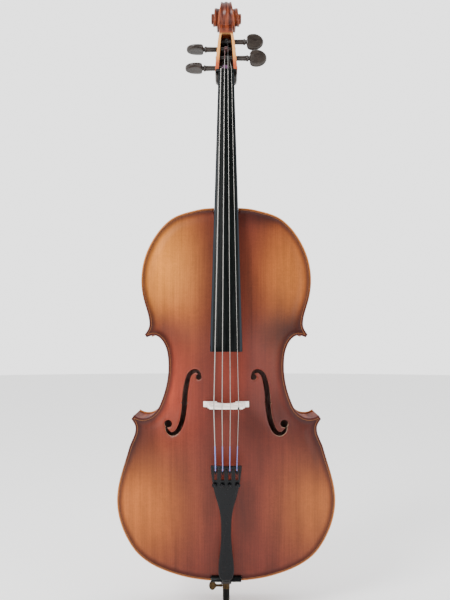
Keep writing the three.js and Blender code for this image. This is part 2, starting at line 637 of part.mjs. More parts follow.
// ---- tailpiece and its tuners ----
const tailFront = (z) => TAILPIECE.front + TAILPIECE.slope * (TAILPIECE.top - z);
const TAIL_STATIONS = [[70, 5], [72, 9.5], [76, 12.6], [83, 14.8], [94, 15.4], [108, 14.7],
  [130, 12.2], [155, 10.3],
  [178, 10], [200, 10.7], [222, 14.2], [246, 20.8], [271, 26.4], [296, 29.6], [306, 30.2], [308, 29]];
const TUNERS = [['c', -20.7, -23.3], ['g', -6.9, -7.6], ['d', 6.9, 7.6], ['a', 20.7, 23.3]];

function tailHalf(z) {
  const i = Math.max(TAIL_STATIONS.findIndex(([height]) => height >= z), 1);
  const [[z0, w0], [z1, w1]] = [TAIL_STATIONS[i - 1], TAIL_STATIONS[i]];
  return THREE.MathUtils.lerp(w0, w1, (z - z0) / (z1 - z0));
}

const tailFace = (x, z) => tailFront(z) + x * x / (2 * TAILPIECE.radius);
const tailUnder = (z) => tailFront(z) + tailHalf(z) ** 2 / (2 * TAILPIECE.radius) + TAILPIECE.skin;

function addTailpiece() {
  const rings = TAIL_STATIONS.map(([z, half]) => [
    ...Array.from({ length: 9 }, (_, i) => [half * (i / 4 - 1), tailFace(half * (i / 4 - 1), z), z]),
    [half, tailUnder(z), z], [-half, tailUnder(z), z]]);
  const slots = TUNERS.map(([, x]) => (
    block(x - TUNER.slot / 2, x + TUNER.slot / 2, -160, -110, TUNER.slotEnd, TUNER.slotTop)));
  const holes = TUNERS.map(([, , x]) => (
    screwAt(new THREE.CylinderGeometry(TUNER.screwHole, TUNER.screwHole, 50, 16), x)));
  const pivotBore = barAlongX(1.3, -40, 40, pivotDepth(), TUNER.pivotZ, 16);
  const gutBores = [-GUT.half, GUT.half].map((x) => new THREE.CylinderGeometry(GUT.bore, GUT.bore, 12, 12)
    .rotateX(Math.PI / 2).translate(x, tailUnder(76) - 1.6, 70));
  add('tailpiece', cut(loft(rings), ...slots, ...holes, pivotBore, ...gutBores), FINISHES.composite);
}

const pivotDepth = () => tailFront(TUNER.pivotZ) + TUNER.pivotDeep;

// a shape built along +Y, with y = 0 on the tailpiece's face, turned square to that face
function screwAt(geometry, x) {
  return geometry.rotateX(Math.PI - Math.atan(-TAILPIECE.slope))
    .translate(x, tailFace(x, TUNER.screwZ), TUNER.screwZ);
}

function addTuners() {
  const pin = barAlongX(1, -29, 29, pivotDepth(), TUNER.pivotZ, 16);
  add('tuner_pivot_rod', pin, FINISHES.steel);
  for (const [name, x, screwX] of TUNERS) {
    const [zLow, zKnee, zHigh] = [264, 292.4, 297];
    const profile = [[tailFace(x, zHigh) - 0.5, zHigh], [tailUnder(zHigh) + 4, zHigh],
      [tailUnder(zLow) + 4, zLow],
      [tailUnder(zLow) + 1, zLow], [tailUnder(zKnee) + 1, zKnee], [tailFace(x, zKnee) - 0.5, zKnee]];
    const bore = barAlongX(1.1, x - 10, x + 10, pivotDepth(), TUNER.pivotZ, 16);
    const lever = sideSlab(profile, x - TUNER.width / 2, x + TUNER.width / 2);
    add(`tuner_lever_${name}`, cut(lever, bore), FINISHES.steel);

    const inside = (tailUnder(TUNER.screwZ) + 0.5 - tailFace(screwX, TUNER.screwZ))
      * Math.cos(Math.atan(TAILPIECE.slope));
    const knob = new THREE.LatheGeometry([[0, -inside], [1.5, -inside], [1.5, 1.4], [4, 1.4],
      [4.1, 2], [4.1, 6.4],
      [3.6, 7], [0, 7]].map(([r, y]) => new THREE.Vector2(r, y)), 16);
    add(`tuner_screw_${name}`, screwAt(knob, screwX), FINISHES.steel);
  }
}

// ---- strings ----
const STRINGS = [
  { name: 'string_c', place: -1.5, radius: 0.85, tail: -20.7, peg: PEGS[0], winding: -6 },
  { name: 'string_g', place: -0.5, radius: 0.65, tail: -6.9, peg: PEGS[1], winding: -3 },
  { name: 'string_d', place: 0.5, radius: 0.5, tail: 6.9, peg: PEGS[2], winding: 3.5 },
  { name: 'string_a', place: 1.5, radius: 0.4, tail: 20.7, peg: PEGS[3], winding: 6, lift: 1.3 },
];

function stringRoute({ place, radius, tail, peg, winding, lift = 0 }) {
  const clear = radius + GAP;
  const nutX = place * STRING_SPREAD.nut;
  const nutY = NUT.front + nutX * nutX / (2 * BOARD.radius) - clear;
  const bridgeX = place * STRING_SPREAD.bridge;
  const bridgeY = crownFront(bridgeX) - clear - 0.1 - lift;
  return [
    [winding, peg.y - PEG.nearRadius - clear, peg.z],
    [nutX, nutY, NUT_Z + NUT.height - 1], [nutX, nutY, NUT_Z - 1],
    [bridgeX, bridgeY, BRIDGE_Z + 3], [bridgeX, bridgeY, BRIDGE_Z - 3],
    [tail, tailFace(tail, 309) - clear - 0.4, 309], [tail, tailFace(tail, 298) - clear - 0.2, 298],
  ];
}

function addStrings() {
  for (const string of STRINGS) {
    const rings = stringRoute(string).map(([x, y, z]) => Array.from({ length: 8 }, (_, i) => {
      const angle = Math.PI * 2 * i / 8;
      return [x + string.radius * Math.cos(angle), y + string.radius * Math.sin(angle), z];
    }));
    add(string.name, loft(rings), FINISHES.steel);
  }
  const thinnest = STRINGS[3];
  const [x, y] = stringRoute(thinnest)[3];
  const [hole, skin] = [thinnest.radius + GAP, thinnest.radius + GAP + 0.7];
  const sleeve = turned([[hole, -2.6], [skin, -2.6], [skin, 2.6], [hole, 2.6], [hole, -2.6]], 12);
  add('string_sleeve', sleeve.translate(x, y, BRIDGE_Z), FINISHES.rubber);
}

// ---- tailgut and endpin ----
function addTailgut() {
  const side = [[GUT.half, tailUnder(76) - 2.2, 73], [GUT.half, tailUnder(76) + 0.5, 67],
    [7.5, SADDLE.front - 2.2, 65.5],
    [8.5, SADDLE.front - 1, 61], [9.5, -60, 58.6], [10.6, -30, 58.2], [11.2, -6, 58.2], [8.2, 8, 58.2]];
  const route = [...side, [0, 11.4, 58.2], ...side.map(([x, y, z]) => [-x, y, z]).reverse()];
  const curve = new THREE.CatmullRomCurve3(route.map((p) => new THREE.Vector3(...p)), false, 'centripetal');
  const section = new THREE.Shape(Array.from({ length: 8 }, (_, i) => {
    const angle = Math.PI * 2 * i / 8;
    return new THREE.Vector2(GUT.radius * Math.cos(angle), GUT.radius * Math.sin(angle));
  }));
  add('tailgut', new THREE.ExtrudeGeometry(section, { steps: 36, extrudePath: curve }), FINISHES.cord);
}

function addEndpin() {
  const bore = ROD.radius + 0.08;
  const collar = turned([[bore, FERRULE.high + GAP], [COLLAR.flange - 1.5, FERRULE.high + GAP],
    [COLLAR.flange, 42], [COLLAR.flange, 51], [COLLAR.neck, 54], [COLLAR.neck, 62], [COLLAR.plug - 0.5, 65.5],
    [COLLAR.plug - 1, COLLAR.plugTop], [bore, COLLAR.plugTop], [bore, FERRULE.high + GAP]]);
  add('endpin_collar', collar, FINISHES.pegWood);

  const ferrule = turned([[bore, FERRULE.low], [FERRULE.radius, FERRULE.low], [FERRULE.radius, FERRULE.high],
    [bore, FERRULE.high], [bore, FERRULE.low]]);
  add('endpin_ferrule', cut(ferrule, barAlongX(2.3, -20, 0, 0, CLAMP_Z, 16)), FINISHES.brass);

  const stem = turned([[0, 5.4], [2, 5.4], [2, 9], [3.2, 9], [3.2, 20], [2.6, 21], [0, 21]], 20)
    .rotateY(-Math.PI / 2).translate(0, 0, CLAMP_Z);
  const wing = new THREE.Shape();
  wing.moveTo(-20, -4);
  wing.bezierCurveTo(-23, -5, -23, -10, -28, -10);
  wing.bezierCurveTo(-34, -10, -36.5, -6, -36, 0);
  wing.bezierCurveTo(-36.5, 6, -34, 10, -28, 10);
  wing.bezierCurveTo(-23, 10, -23, 5, -20, 4);
  const plate = new THREE.ExtrudeGeometry(wing, { depth: 3.4, bevelEnabled: false, curveSegments: 6 })
    .rotateX(Math.PI / 2).translate(0, 1.7, CLAMP_Z);
  add('clamp_screw', join(stem, plate), FINISHES.brass);

  add('endpin_rod', turned([[0, 0], [ROD.pointRadius, 0], [ROD.pointRadius, 8], [ROD.radius, 12],
    [ROD.radius, ROD.top - 1], [ROD.radius - 1, ROD.top], [0, ROD.top]]), FINISHES.steel);
  const grip = ROD.radius + GAP;
  add('rubber_foot', turned([[ROD.pointRadius + GAP, 2], [6.2, 2], [7.2, 5], [7.2, 26], [6.6, 28], [grip, 28],
    [grip, 11.8], [ROD.pointRadius + GAP, 7.6], [ROD.pointRadius + GAP, 2]]), FINISHES.rubber);
}

addPlates();
addRibsAndLinings();
addBlocks();
addBassBar();
addSoundPost();
addNeck();
addPegs();
addFingerboard();
addNut();
addSaddle();
addBridge();
addTailpiece();
addTuners();
addStrings();
addTailgut();
addEndpin();

export default cello;
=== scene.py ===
import math

import bmesh
import bpy
import numpy as np
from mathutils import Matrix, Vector
from mathutils.geometry import delaunay_2d_cdt


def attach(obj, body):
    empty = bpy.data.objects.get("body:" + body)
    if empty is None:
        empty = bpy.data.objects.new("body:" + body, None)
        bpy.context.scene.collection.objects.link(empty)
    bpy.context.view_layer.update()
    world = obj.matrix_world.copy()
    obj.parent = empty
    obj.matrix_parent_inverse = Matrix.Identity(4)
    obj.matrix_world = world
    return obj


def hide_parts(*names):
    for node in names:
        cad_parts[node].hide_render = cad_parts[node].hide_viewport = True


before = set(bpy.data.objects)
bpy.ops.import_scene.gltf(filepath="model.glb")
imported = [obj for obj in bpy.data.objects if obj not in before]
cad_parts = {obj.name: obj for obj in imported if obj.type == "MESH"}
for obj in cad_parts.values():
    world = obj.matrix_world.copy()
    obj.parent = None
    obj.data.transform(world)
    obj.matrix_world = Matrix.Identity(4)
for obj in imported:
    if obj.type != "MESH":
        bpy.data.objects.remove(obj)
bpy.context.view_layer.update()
print("frame loaded:", len(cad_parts), "nodes")

# A cello upright on its endpin: +Z up, belly towards -Y, treble side towards +X.
# Sizes are in millimetres and become metres when a mesh is made.
metres = 0.001

# camera, floor and light
studio = {
    "cameraPlace": (0.0, -1.7035, 0.570), "lens": 48.7, "shift": (-0.002, 0.05),
    "floorRadius": 9.0, "floorColour": (0.93, 0.93, 0.925), "skyColour": (1.0, 1.0, 1.0), "skyStrength": 2.5,
    "skyFront": 0.16, "skyFade": (-0.75, 0.05), "aim": (0, 0, 0.62), "floorRoughness": 0.9,
    "keyPlace": (-1.7, -2.3, 2.3), "keySize": 1.2, "keyPower": 135,
    "fillPlace": (2.1, -2.0, 1.1), "fillSize": 1.8, "fillPower": 40,
}


def addObject(name, data):
    obj = bpy.data.objects.new(name, data)
    bpy.context.scene.collection.objects.link(obj)
    return obj


def placeCamera():
    camera = addObject("camera", bpy.data.cameras.new("camera"))
    camera.location = studio["cameraPlace"]
    camera.rotation_euler = (math.radians(90), 0, 0)
    camera.data.lens = studio["lens"]
    camera.data.shift_x, camera.data.shift_y = studio["shift"]
    camera.data.clip_start = 0.01
    bpy.context.scene.camera = camera


def softLamp(name, place, size, power):
    lamp = addObject(name, bpy.data.lights.new(name, "AREA"))
    lamp.data.shape = "SQUARE"
    lamp.data.size = size
    lamp.data.energy = power
    lamp.location = place
    lamp.rotation_euler = (Vector(studio["aim"]) - Vector(place)).to_track_quat("-Z", "Y").to_euler()


def placeStudio():
    world = bpy.data.worlds.new("studioSky")
    world.use_nodes = True
    sky = world.node_tree.nodes["Background"]
    sky.inputs["Color"].default_value = (*studio["skyColour"], 1)
    # bright behind and beside the object, dimmer in front, so that dark gloss keeps its depth
    tree = world.node_tree
    way = axesOf(tree, "Generated")[1]
    front = studio["skyStrength"] * studio["skyFront"]
    tree.links.new(rise(tree, way, *studio["skyFade"], front, studio["skyStrength"]), sky.inputs["Strength"])
    bpy.context.scene.world = world
    softLamp("keyLamp", studio["keyPlace"], studio["keySize"], studio["keyPower"])
    softLamp("fillLamp", studio["fillPlace"], studio["fillSize"], studio["fillPower"])
    mesh = bpy.data.meshes.new("studioFloor")
    shape = bmesh.new()
    bmesh.ops.create_circle(shape, cap_ends=True, segments=96, radius=studio["floorRadius"])
    shape.to_mesh(mesh)
    shape.free()
    floor = addObject("studioFloor", mesh)
    paint = bpy.data.materials.new("paleFloor")
    paint.use_nodes = True
    surface = paint.node_tree.nodes["Principled BSDF"]
    surface.inputs["Base Color"].default_value = (*studio["floorColour"], 1)
    surface.inputs["Roughness"].default_value = studio["floorRoughness"]
    mesh.materials.append(paint)


# material helpers
paintMix = {"depth": 1.62, "lightness": 0.92, "brightest": 0.95}


def colour(red, green, blue):
    # a seen colour out of 255 to the linear colour of the bare finish, deeper than it looks in strong light
    linear = [(c / 255 / 12.92 if c <= 10 else ((c / 255 + 0.055) / 1.055) ** 2.4)
        for c in (red, green, blue)]
    return (*[min(paintMix["lightness"] * c ** paintMix["depth"], paintMix["brightest"]) for c in linear], 1)


def newShader(name, roughness, **sockets):
    material = bpy.data.materials.new(name)
    material.use_nodes = True
    tree = material.node_tree
    surface = tree.nodes["Principled BSDF"]
    surface.inputs["Roughness"].default_value = roughness
    for socket, value in sockets.items():
        surface.inputs[socket.replace("_", " ")].default_value = value
    return material, tree, surface


def addNode(tree, kind, inputs=None, **settings):
    node = tree.nodes.new(kind)
    for key, value in settings.items():
        setattr(node, key, value)
    for key, value in (inputs or {}).items():
        if isinstance(value, bpy.types.NodeSocket):
            tree.links.new(value, node.inputs[key])
        else:
            node.inputs[key].default_value = value
    return node


def reckon(tree, operation, first, second=0.0, third=0.0, clamp=False):
    return addNode(tree, "ShaderNodeMath", {0: first, 1: second, 2: third}, operation=operation,
        use_clamp=clamp).outputs[0]


def times(tree, first, *others):
    for other in others:
        first = reckon(tree, "MULTIPLY", first, other)
    return first


def mixColour(tree, share, first, second, how="MIX"):
    node = addNode(tree, "ShaderNodeMix", None, data_type="RGBA", blend_type=how, clamp_factor=True)
    for key, value in ((0, share), (6, first), (7, second)):
        if isinstance(value, bpy.types.NodeSocket):
            tree.links.new(value, node.inputs[key])
        else:
            node.inputs[key].default_value = value
    return node.outputs[2]


def rise(tree, value, low, high, bottom=0.0, top=1.0):
    return addNode(tree, "ShaderNodeMapRange", {0: value, 1: low, 2: high, 3: bottom, 4: top},
        interpolation_type="SMOOTHSTEP").outputs[0]


def axesOf(tree, output="Object"):
    return addNode(tree, "ShaderNodeSeparateXYZ",
        {0: addNode(tree, "ShaderNodeTexCoord").outputs[output]}).outputs


placeCamera()
placeStudio()
print("camera, floor and light placed")


def stretched(tree, factors, turn=(0, 0, 0)):
    place = addNode(tree, "ShaderNodeTexCoord").outputs["Object"]
    return addNode(tree, "ShaderNodeMapping", {"Vector": place, "Scale": factors,
        "Rotation": turn}).outputs[0]


def grainNoise(tree, factors, detail=3.0, roughness=0.55, turn=(0, 0, 0)):
    return addNode(tree, "ShaderNodeTexNoise", {"Vector": stretched(tree, factors, turn), "Scale": 1.0,
        "Detail": detail, "Roughness": roughness}).outputs[0]


def paintBase(tree, surface, tone):
    tree.links.new(tone, surface.inputs["Base Color"])


def addBump(tree, surface, height, strength, distance):
    bump = addNode(tree, "ShaderNodeBump", {"Height": height, "Strength": strength, "Distance": distance})
    tree.links.new(bump.outputs[0], surface.inputs["Normal"])


def softPatch(tree, across, up, centre, spread):
    dx = reckon(tree, "DIVIDE", reckon(tree, "SUBTRACT", across, centre[0]), spread[0])
    dz = reckon(tree, "DIVIDE", reckon(tree, "SUBTRACT", up, centre[1]), spread[1])
    square = reckon(tree, "ADD", times(tree, dx, dx), times(tree, dz, dz))
    return reckon(tree, "EXPONENT", times(tree, square, -1.0))


# finishes
# Belly: sunburst of patches (centre x and z in metres, spread, colour, strength) over a red-brown ground,
# with painted light in it: the left side is painted lighter and the right side darker, as if lit from the
# left, and one patch is a painted shadow beside the fingerboard.
bellyLook = {
    "ground": (136, 80, 68), "rim": (200, 146, 88), "rimDark": (112, 60, 50), "purflingDark": (40, 24, 22),
    "purflingPale": (196, 140, 96),
    # gutterShade: colour of the painted shade in the gutter channel inside the edge
    "gutterShade": (88, 40, 36), "roughness": 0.42, "coat": 0.06,
    # distances from the edge in millimetres: where the rim starts, the dark purfling and the pale line in it
    "rimAt": (3.4, 2.2), "darkAt": (3.5, 5.7), "paleAt": (4.4, 4.9),
    # stretch on each axis, detail, noise from and to, brightness from and to
    "veils": [
        ((46, 46, 1.6), 2.0, 0.3, 0.7, 0.86, 1.12),  # broad streaks
        ((760, 60, 5.5), 2.0, 0.25, 0.75, 0.86, 1.10),  # year rings
        ((60, 60, 240), 2.0, 0.3, 0.7, 0.965, 1.035),  # silk across them
        ((22, 22, 9), 3.0, 0.3, 0.7, 0.88, 1.10),  # clouds
        ((420, 420, 300), 1.0, 0.3, 0.75, 1.05, 0.93),  # speckle
    ],
    "patches": [
        # painted light: the left upper and lower bouts are painted brighter gold than the right ones
        ((-0.125, 0.690), (0.062, 0.120), (220, 162, 84), 0.95),
        ((0.130, 0.680), (0.060, 0.110), (190, 134, 76), 0.88),
        ((-0.180, 0.215), (0.085, 0.110), (204, 142, 80), 0.85),
        ((0.185, 0.215), (0.075, 0.100), (180, 126, 78), 0.80),
        # painted light on the left C-bout
        ((-0.112, 0.480), (0.040, 0.110), (196, 112, 88), 0.80),
        ((0.035, 0.500), (0.050, 0.080), (172, 96, 78), 0.35),
        # painted shade: the right C-bout corners are painted darker than the left ones
        ((0.140, 0.566), (0.075, 0.046), (84, 40, 38), 0.90),
        ((-0.140, 0.562), (0.055, 0.046), (108, 56, 50), 0.80),
        ((0.150, 0.395), (0.090, 0.050), (100, 58, 52), 0.75),
        ((-0.190, 0.365), (0.048, 0.075), (100, 56, 52), 0.85),
        ((0.190, 0.350), (0.045, 0.070), (102, 58, 52), 0.75),
        # painted shadow of the fingerboard on the belly, right of it near the neck
        ((0.078, 0.800), (0.070, 0.020), (86, 46, 42), 0.80),
        ((0.0, 0.085), (0.080, 0.045), (126, 74, 62), 0.50),
    ],
}
backLook = {
    "rim": (104, 50, 40), "glow": (176, 104, 64), "flame": (208, 136, 80), "lean": 0.16,
    "stretch": (7, 1, 110),
    "rimAt": (3.4, 2.2), "darkAt": (3.8, 5.6), "paleAt": (4.45, 4.95),
}
mapleLook = {
    "ground": (134, 76, 60), "flame": (166, 102, 74), "worn": (230, 184, 122), "dark": (78, 42, 36),
    "scroll": ((98, 56, 47), (172, 110, 78)), "salmon": (198, 124, 90), "hollow": (66, 40, 36),
    # stainAndShade: the chin's dark stain with the shade under the pegbox shoulders painted in
    "stainAndShade": (58, 56, 50), "roughness": 0.36,
    # heights in metres where each part of the head's colour fades in or out
    "scrollFrom": (1.196, 1.206), "pegboxFrom": (1.098, 1.101), "pegboxTo": (1.199, 1.192),
    "goldFrom": (1.115, 1.145),
    "chinFrom": (1.066, 1.078), "chinTo": (1.1005, 1.098),
}


def edgeValue(tree, name="edgeDistance"):
    return addNode(tree, "ShaderNodeAttribute", None, attribute_name=name).outputs["Fac"]


def band(tree, value, low, high, soft=0.12):
    rising = rise(tree, value, low - soft, low + soft)
    return times(tree, rising, rise(tree, value, high - soft, high + soft, 1, 0))


def paintEdge(tree, tone, edge, rim, look):
    tone = mixColour(tree, rise(tree, edge, *look["rimAt"]), tone, rim)
    tone = mixColour(tree, band(tree, edge, *look["darkAt"]), tone, colour(*bellyLook["purflingDark"]))
    return mixColour(tree, band(tree, edge, *look["paleAt"]), tone, colour(*bellyLook["purflingPale"]))


def makeBellyVarnish():
    material, tree, surface = newShader("bellyVarnish", bellyLook["roughness"],
        Coat_Weight=bellyLook["coat"], Coat_Roughness=0.22, Specular_IOR_Level=0.2)
    axes = axesOf(tree)
    tone = colour(*bellyLook["ground"])
    for centre, spread, paint, strength in bellyLook["patches"]:
        share = times(tree, softPatch(tree, axes[0], axes[2], centre, spread), strength)
        tone = mixColour(tree, share, tone, colour(*paint))
    veils = [rise(tree, grainNoise(tree, stretch, detail), *reach)
        for stretch, detail, *reach in bellyLook["veils"]]
    shade = times(tree, *veils)
    tone = mixColour(tree, 1.0, tone, addNode(tree, "ShaderNodeCombineColor",
        {0: shade, 1: shade, 2: shade}).outputs[0], "MULTIPLY")
    edge = edgeValue(tree)
    # painted shade in the gutter channel inside the edge
    gutterShade = times(tree, rise(tree, edge, 6.0, 17.0, 1, 0), 0.72)
    tone = mixColour(tree, gutterShade, tone, colour(*bellyLook["gutterShade"]))
    waist = rise(tree, reckon(tree, "ABSOLUTE", reckon(tree, "SUBTRACT", axes[2], 0.47)), 0.14, 0.24, 1, 0)
    rim = mixColour(tree, waist, colour(*bellyLook["rim"]), colour(*bellyLook["rimDark"]))
    paintBase(tree, surface, paintEdge(tree, tone, edge, rim, bellyLook))
    addBump(tree, surface, veils[1], 0.18, 0.0004)
    return material


def paintHead(tree, tone):
    # streaks down the scroll, gold cheeks, dark pegbox inside and a dark chin below the nut, stained and with
    # painted shade under the pegbox shoulders
    place, facing = axesOf(tree), axesOf(tree, "Normal")
    across, height = reckon(tree, "ABSOLUTE", place[0]), place[2]
    streak = mixColour(tree, rise(tree, grainNoise(tree, (240, 30, 14), 3.0), 0.42, 0.66),
        *[colour(*paint) for paint in mapleLook["scroll"]])
    tone = mixColour(tree, times(tree, rise(tree, height, *mapleLook["scrollFrom"]), 0.8), tone, streak)
    front = rise(tree, facing[1], -0.35, -0.7)
    pegbox = times(tree, rise(tree, height, *mapleLook["pegboxFrom"]),
        rise(tree, height, *mapleLook["pegboxTo"]))
    gold = mixColour(tree, rise(tree, height, *mapleLook["goldFrom"]), colour(*mapleLook["salmon"]),
        colour(*mapleLook["worn"]))
    tone = mixColour(tree, times(tree, pegbox, front, 0.92), tone, gold)
    wall = reckon(tree, "SUBTRACT", 0.0745, times(tree, height, 0.055))
    floor = times(tree, front, rise(tree, reckon(tree, "SUBTRACT", across, wall), 0.0003, -0.0003))
    inward = rise(tree, times(tree, facing[0], reckon(tree, "SIGN", place[0])), -0.4, -0.7)
    inside = times(tree, pegbox, reckon(tree, "MAXIMUM", floor, inward))
    tone = mixColour(tree, times(tree, inside, 0.95), tone, colour(*mapleLook["hollow"]))
    # the chin: a dark stain, with the shade under the pegbox shoulders painted in as well
    stainAndShade = times(tree, rise(tree, height, *mapleLook["chinFrom"]), rise(tree, height, *mapleLook["chinTo"]))
    return mixColour(tree, times(tree, stainAndShade, 0.98), tone, colour(*mapleLook["stainAndShade"]))


def makeMapleVarnish(name, along, worn, roughness=mapleLook["roughness"], shine=0.22):
    # along: how stretched the flame is on each axis; worn: show bare gold on raised edges and painted shade
    # in hollows, and paint the head
    material, tree, surface = newShader(name, roughness, Coat_Weight=shine * 0.25, Coat_Roughness=0.2,
        Specular_IOR_Level=shine)
    flame = rise(tree, grainNoise(tree, along, 2.5, 0.6), 0.38, 0.62)
    streak = grainNoise(tree, tuple(a * 6 for a in along), 3.0)
    tone = mixColour(tree, flame, colour(*mapleLook["ground"]), colour(*mapleLook["flame"]))
    tone = mixColour(tree, rise(tree, streak, 0.45, 0.8, 0, 0.4), tone, colour(*mapleLook["dark"]))
    if worn:
        ridge = addNode(tree, "ShaderNodeNewGeometry").outputs["Pointiness"]
        tone = mixColour(tree, rise(tree, ridge, 0.51, 0.58, 0, 0.85), tone, colour(*mapleLook["worn"]))
        # painted shade: hollows darker
        tone = mixColour(tree, rise(tree, ridge, 0.49, 0.43, 0, 0.7), tone, colour(*mapleLook["dark"]))
        tone = paintHead(tree, tone)
    paintBase(tree, surface, tone)
    addBump(tree, surface, streak, 0.15, 0.0004)
    return material


def makeBackVarnish():
    material, tree, surface = newShader("backVarnish", mapleLook["roughness"], Coat_Weight=0.1,
        Coat_Roughness=0.2, Specular_IOR_Level=0.25)
    axes = axesOf(tree)
    mirrored = addNode(tree, "ShaderNodeCombineXYZ",
        {0: reckon(tree, "ABSOLUTE", axes[0]), 2: axes[2]}).outputs[0]
    tilted = addNode(tree, "ShaderNodeMapping", {"Vector": mirrored, "Rotation": (0, backLook["lean"], 0),
        "Scale": backLook["stretch"]}).outputs[0]
    flame = rise(tree, addNode(tree, "ShaderNodeTexNoise", {"Vector": tilted, "Scale": 1.0,
        "Detail": 3.0}).outputs[0], 0.36, 0.64)
    glow = softPatch(tree, axes[0], axes[2], (0.0, 0.40), (0.16, 0.36))
    ground = mixColour(tree, glow, colour(*backLook["rim"]), colour(*backLook["glow"]))
    tone = mixColour(tree, times(tree, flame, 0.55), ground, colour(*backLook["flame"]))
    streak = grainNoise(tree, (420, 40, 14), 3.0)
    tone = mixColour(tree, rise(tree, streak, 0.5, 0.85, 0, 0.35), tone, colour(*mapleLook["dark"]))
    joint = reckon(tree, "ABSOLUTE", axes[0])
    tone = mixColour(tree, rise(tree, joint, 0.0006, 0.0002, 0, 0.8), tone, colour(*mapleLook["dark"]))
    edge = edgeValue(tree)
    # painted shade in the gutter channel inside the back's edge
    tone = mixColour(tree, times(tree, rise(tree, edge, 6.0, 22.0, 1, 0), 0.5), tone,
        colour(*bellyLook["gutterShade"]))
    paintBase(tree, surface, paintEdge(tree, tone, edge, colour(*bellyLook["rim"]), backLook))
    addBump(tree, surface, streak, 0.12, 0.0004)
    return material


def makeGrained(name, light, dark, roughness, stretch, bump=0.15, **sockets):
    material, tree, surface = newShader(name, roughness, **sockets)
    coarse = grainNoise(tree, stretch, 4.0, 0.6)
    fine = grainNoise(tree, tuple(s * 4 for s in stretch), 2.0)
    share = reckon(tree, "ADD", times(tree, coarse, 0.7), times(tree, fine, 0.3))
    paintBase(tree, surface, mixColour(tree, rise(tree, share, 0.35, 0.65), colour(*dark), colour(*light)))
    rough = rise(tree, coarse, 0.2, 0.8, roughness - 0.06, roughness + 0.08)
    tree.links.new(rough, surface.inputs["Roughness"])
    addBump(tree, surface, fine, bump, 0.0003)
    return material


def paintSlopeReflection(material):
    # the long sloping edges of the fingerboard are painted lighter and bluer than its crown, a painted
    # reflection of the bright sky
    tree = material.node_tree
    surface = tree.nodes["Principled BSDF"]
    slope = reckon(tree, "ABSOLUTE", axesOf(tree, "Normal")[0])
    share = times(tree, rise(tree, slope, 0.36, 0.44), rise(tree, slope, 0.66, 0.58))
    tone = surface.inputs["Base Color"].links[0].from_socket
    paintBase(tree, surface, mixColour(tree, times(tree, share, 0.6), tone, colour(92, 99, 107)))


bellyVarnish = makeBellyVarnish()
backVarnish = makeBackVarnish()
ribVarnish = makeMapleVarnish("ribVarnish", (100, 7, 100), False, 0.6, 0.04)
neckVarnish = makeMapleVarnish("neckVarnish", (12, 16, 120), True)
innerWood = makeGrained("innerWood", (224, 204, 202), (204, 180, 176), 0.75, (90, 90, 8))
cutWood = makeGrained("cutWood", (250, 232, 214), (226, 196, 170), 0.6, (160, 160, 20))
ebony = makeGrained("ebony", (50, 56, 55), (28, 32, 34), 0.36, (260, 120, 7), 0.1, Specular_IOR_Level=0.07)
# painted reflection on the fingerboard's sloping edges
paintSlopeReflection(ebony)
pegWood = makeGrained("pegWood", (96, 88, 82), (78, 70, 66), 0.3, (40, 90, 90), 0.0, Coat_Weight=0.3,
    Coat_Roughness=0.12, Specular_IOR_Level=0.2)
bridgeWood = makeGrained("bridgeWood", (255, 252, 248), (246, 238, 230), 0.55, (30, 120, 120))
stringSteel = makeGrained("stringSteel", (206, 204, 200), (180, 178, 176), 0.42, (900, 900, 900), 0.0,
    Metallic=0.9)
silkBlue = makeGrained("silkBlue", (158, 168, 214), (128, 138, 190), 0.5, (500, 500, 1600), 0.4,
    Sheen_Weight=0.3)
silkPurple = makeGrained("silkPurple", (164, 112, 158), (120, 80, 124), 0.5, (1600, 500, 500), 0.4,
    Sheen_Weight=0.3)
silkRed = makeGrained("silkRed", (140, 74, 66), (104, 50, 48), 0.5, (1600, 500, 500), 0.4, Sheen_Weight=0.3)
silkDark = makeGrained("silkDark", (58, 50, 56), (34, 28, 34), 0.5, (1600, 500, 500), 0.4, Sheen_Weight=0.2)
blackMetal = makeGrained("blackMetal", (62, 61, 66), (34, 32, 36), 0.3, (500, 500, 500), 0.08, Metallic=0.7)
composite = makeGrained("composite", (48, 50, 54), (38, 40, 44), 0.3, (600, 600, 600), 0.0,
    Specular_IOR_Level=0.17)
tailCord = makeGrained("tailCord", (34, 34, 38), (16, 16, 20), 0.6, (900, 900, 900), 0.5)
darkBrass = makeGrained("darkBrass", (134, 114, 80), (84, 70, 48), 0.36, (240, 240, 240), 0.1, Metallic=0.75)
rodSteel = makeGrained("rodSteel", (196, 196, 198), (160, 160, 164), 0.24, (900, 900, 20), 0.06,
    Metallic=0.95)
rubber = makeGrained("rubber", (24, 24, 25), (14, 14, 15), 0.6, (700, 700, 700), 0.2, Specular_IOR_Level=0.2)
print("finishes made")


# mesh helpers
def newMesh(name, points, faces, edges=()):
    mesh = bpy.data.meshes.new(name)
    mesh.from_pydata((np.asarray(points, float) * metres).tolist(), list(edges), faces)
    return mesh


def addPiece(name, points, faces, materials):
    obj = addObject(name, newMesh(name, points, faces))
    for material in materials:
        obj.data.materials.append(material)
    return obj


def applied(obj):
    # the evaluated shape becomes the mesh, and the modifiers go
    plain = bpy.data.meshes.new_from_object(obj.evaluated_get(bpy.context.evaluated_depsgraph_get()))
    obj.modifiers.clear()
    obj.data = plain
    return obj


def faceOutwards(shape):
    if shape.calc_volume(signed=True) < 0:
        bmesh.ops.reverse_faces(shape, faces=shape.faces)


def finishMesh(obj, sharpAngle=38):
    shape = bmesh.new()
    shape.from_mesh(obj.data)
    bmesh.ops.remove_doubles(shape, verts=shape.verts, dist=1e-7)
    bmesh.ops.recalc_face_normals(shape, faces=shape.faces)
    faceOutwards(shape)
    shape.to_mesh(obj.data)
    shape.free()
    obj.data.shade_smooth()
    obj.data.set_sharp_from_angle(angle=math.radians(sharpAngle))


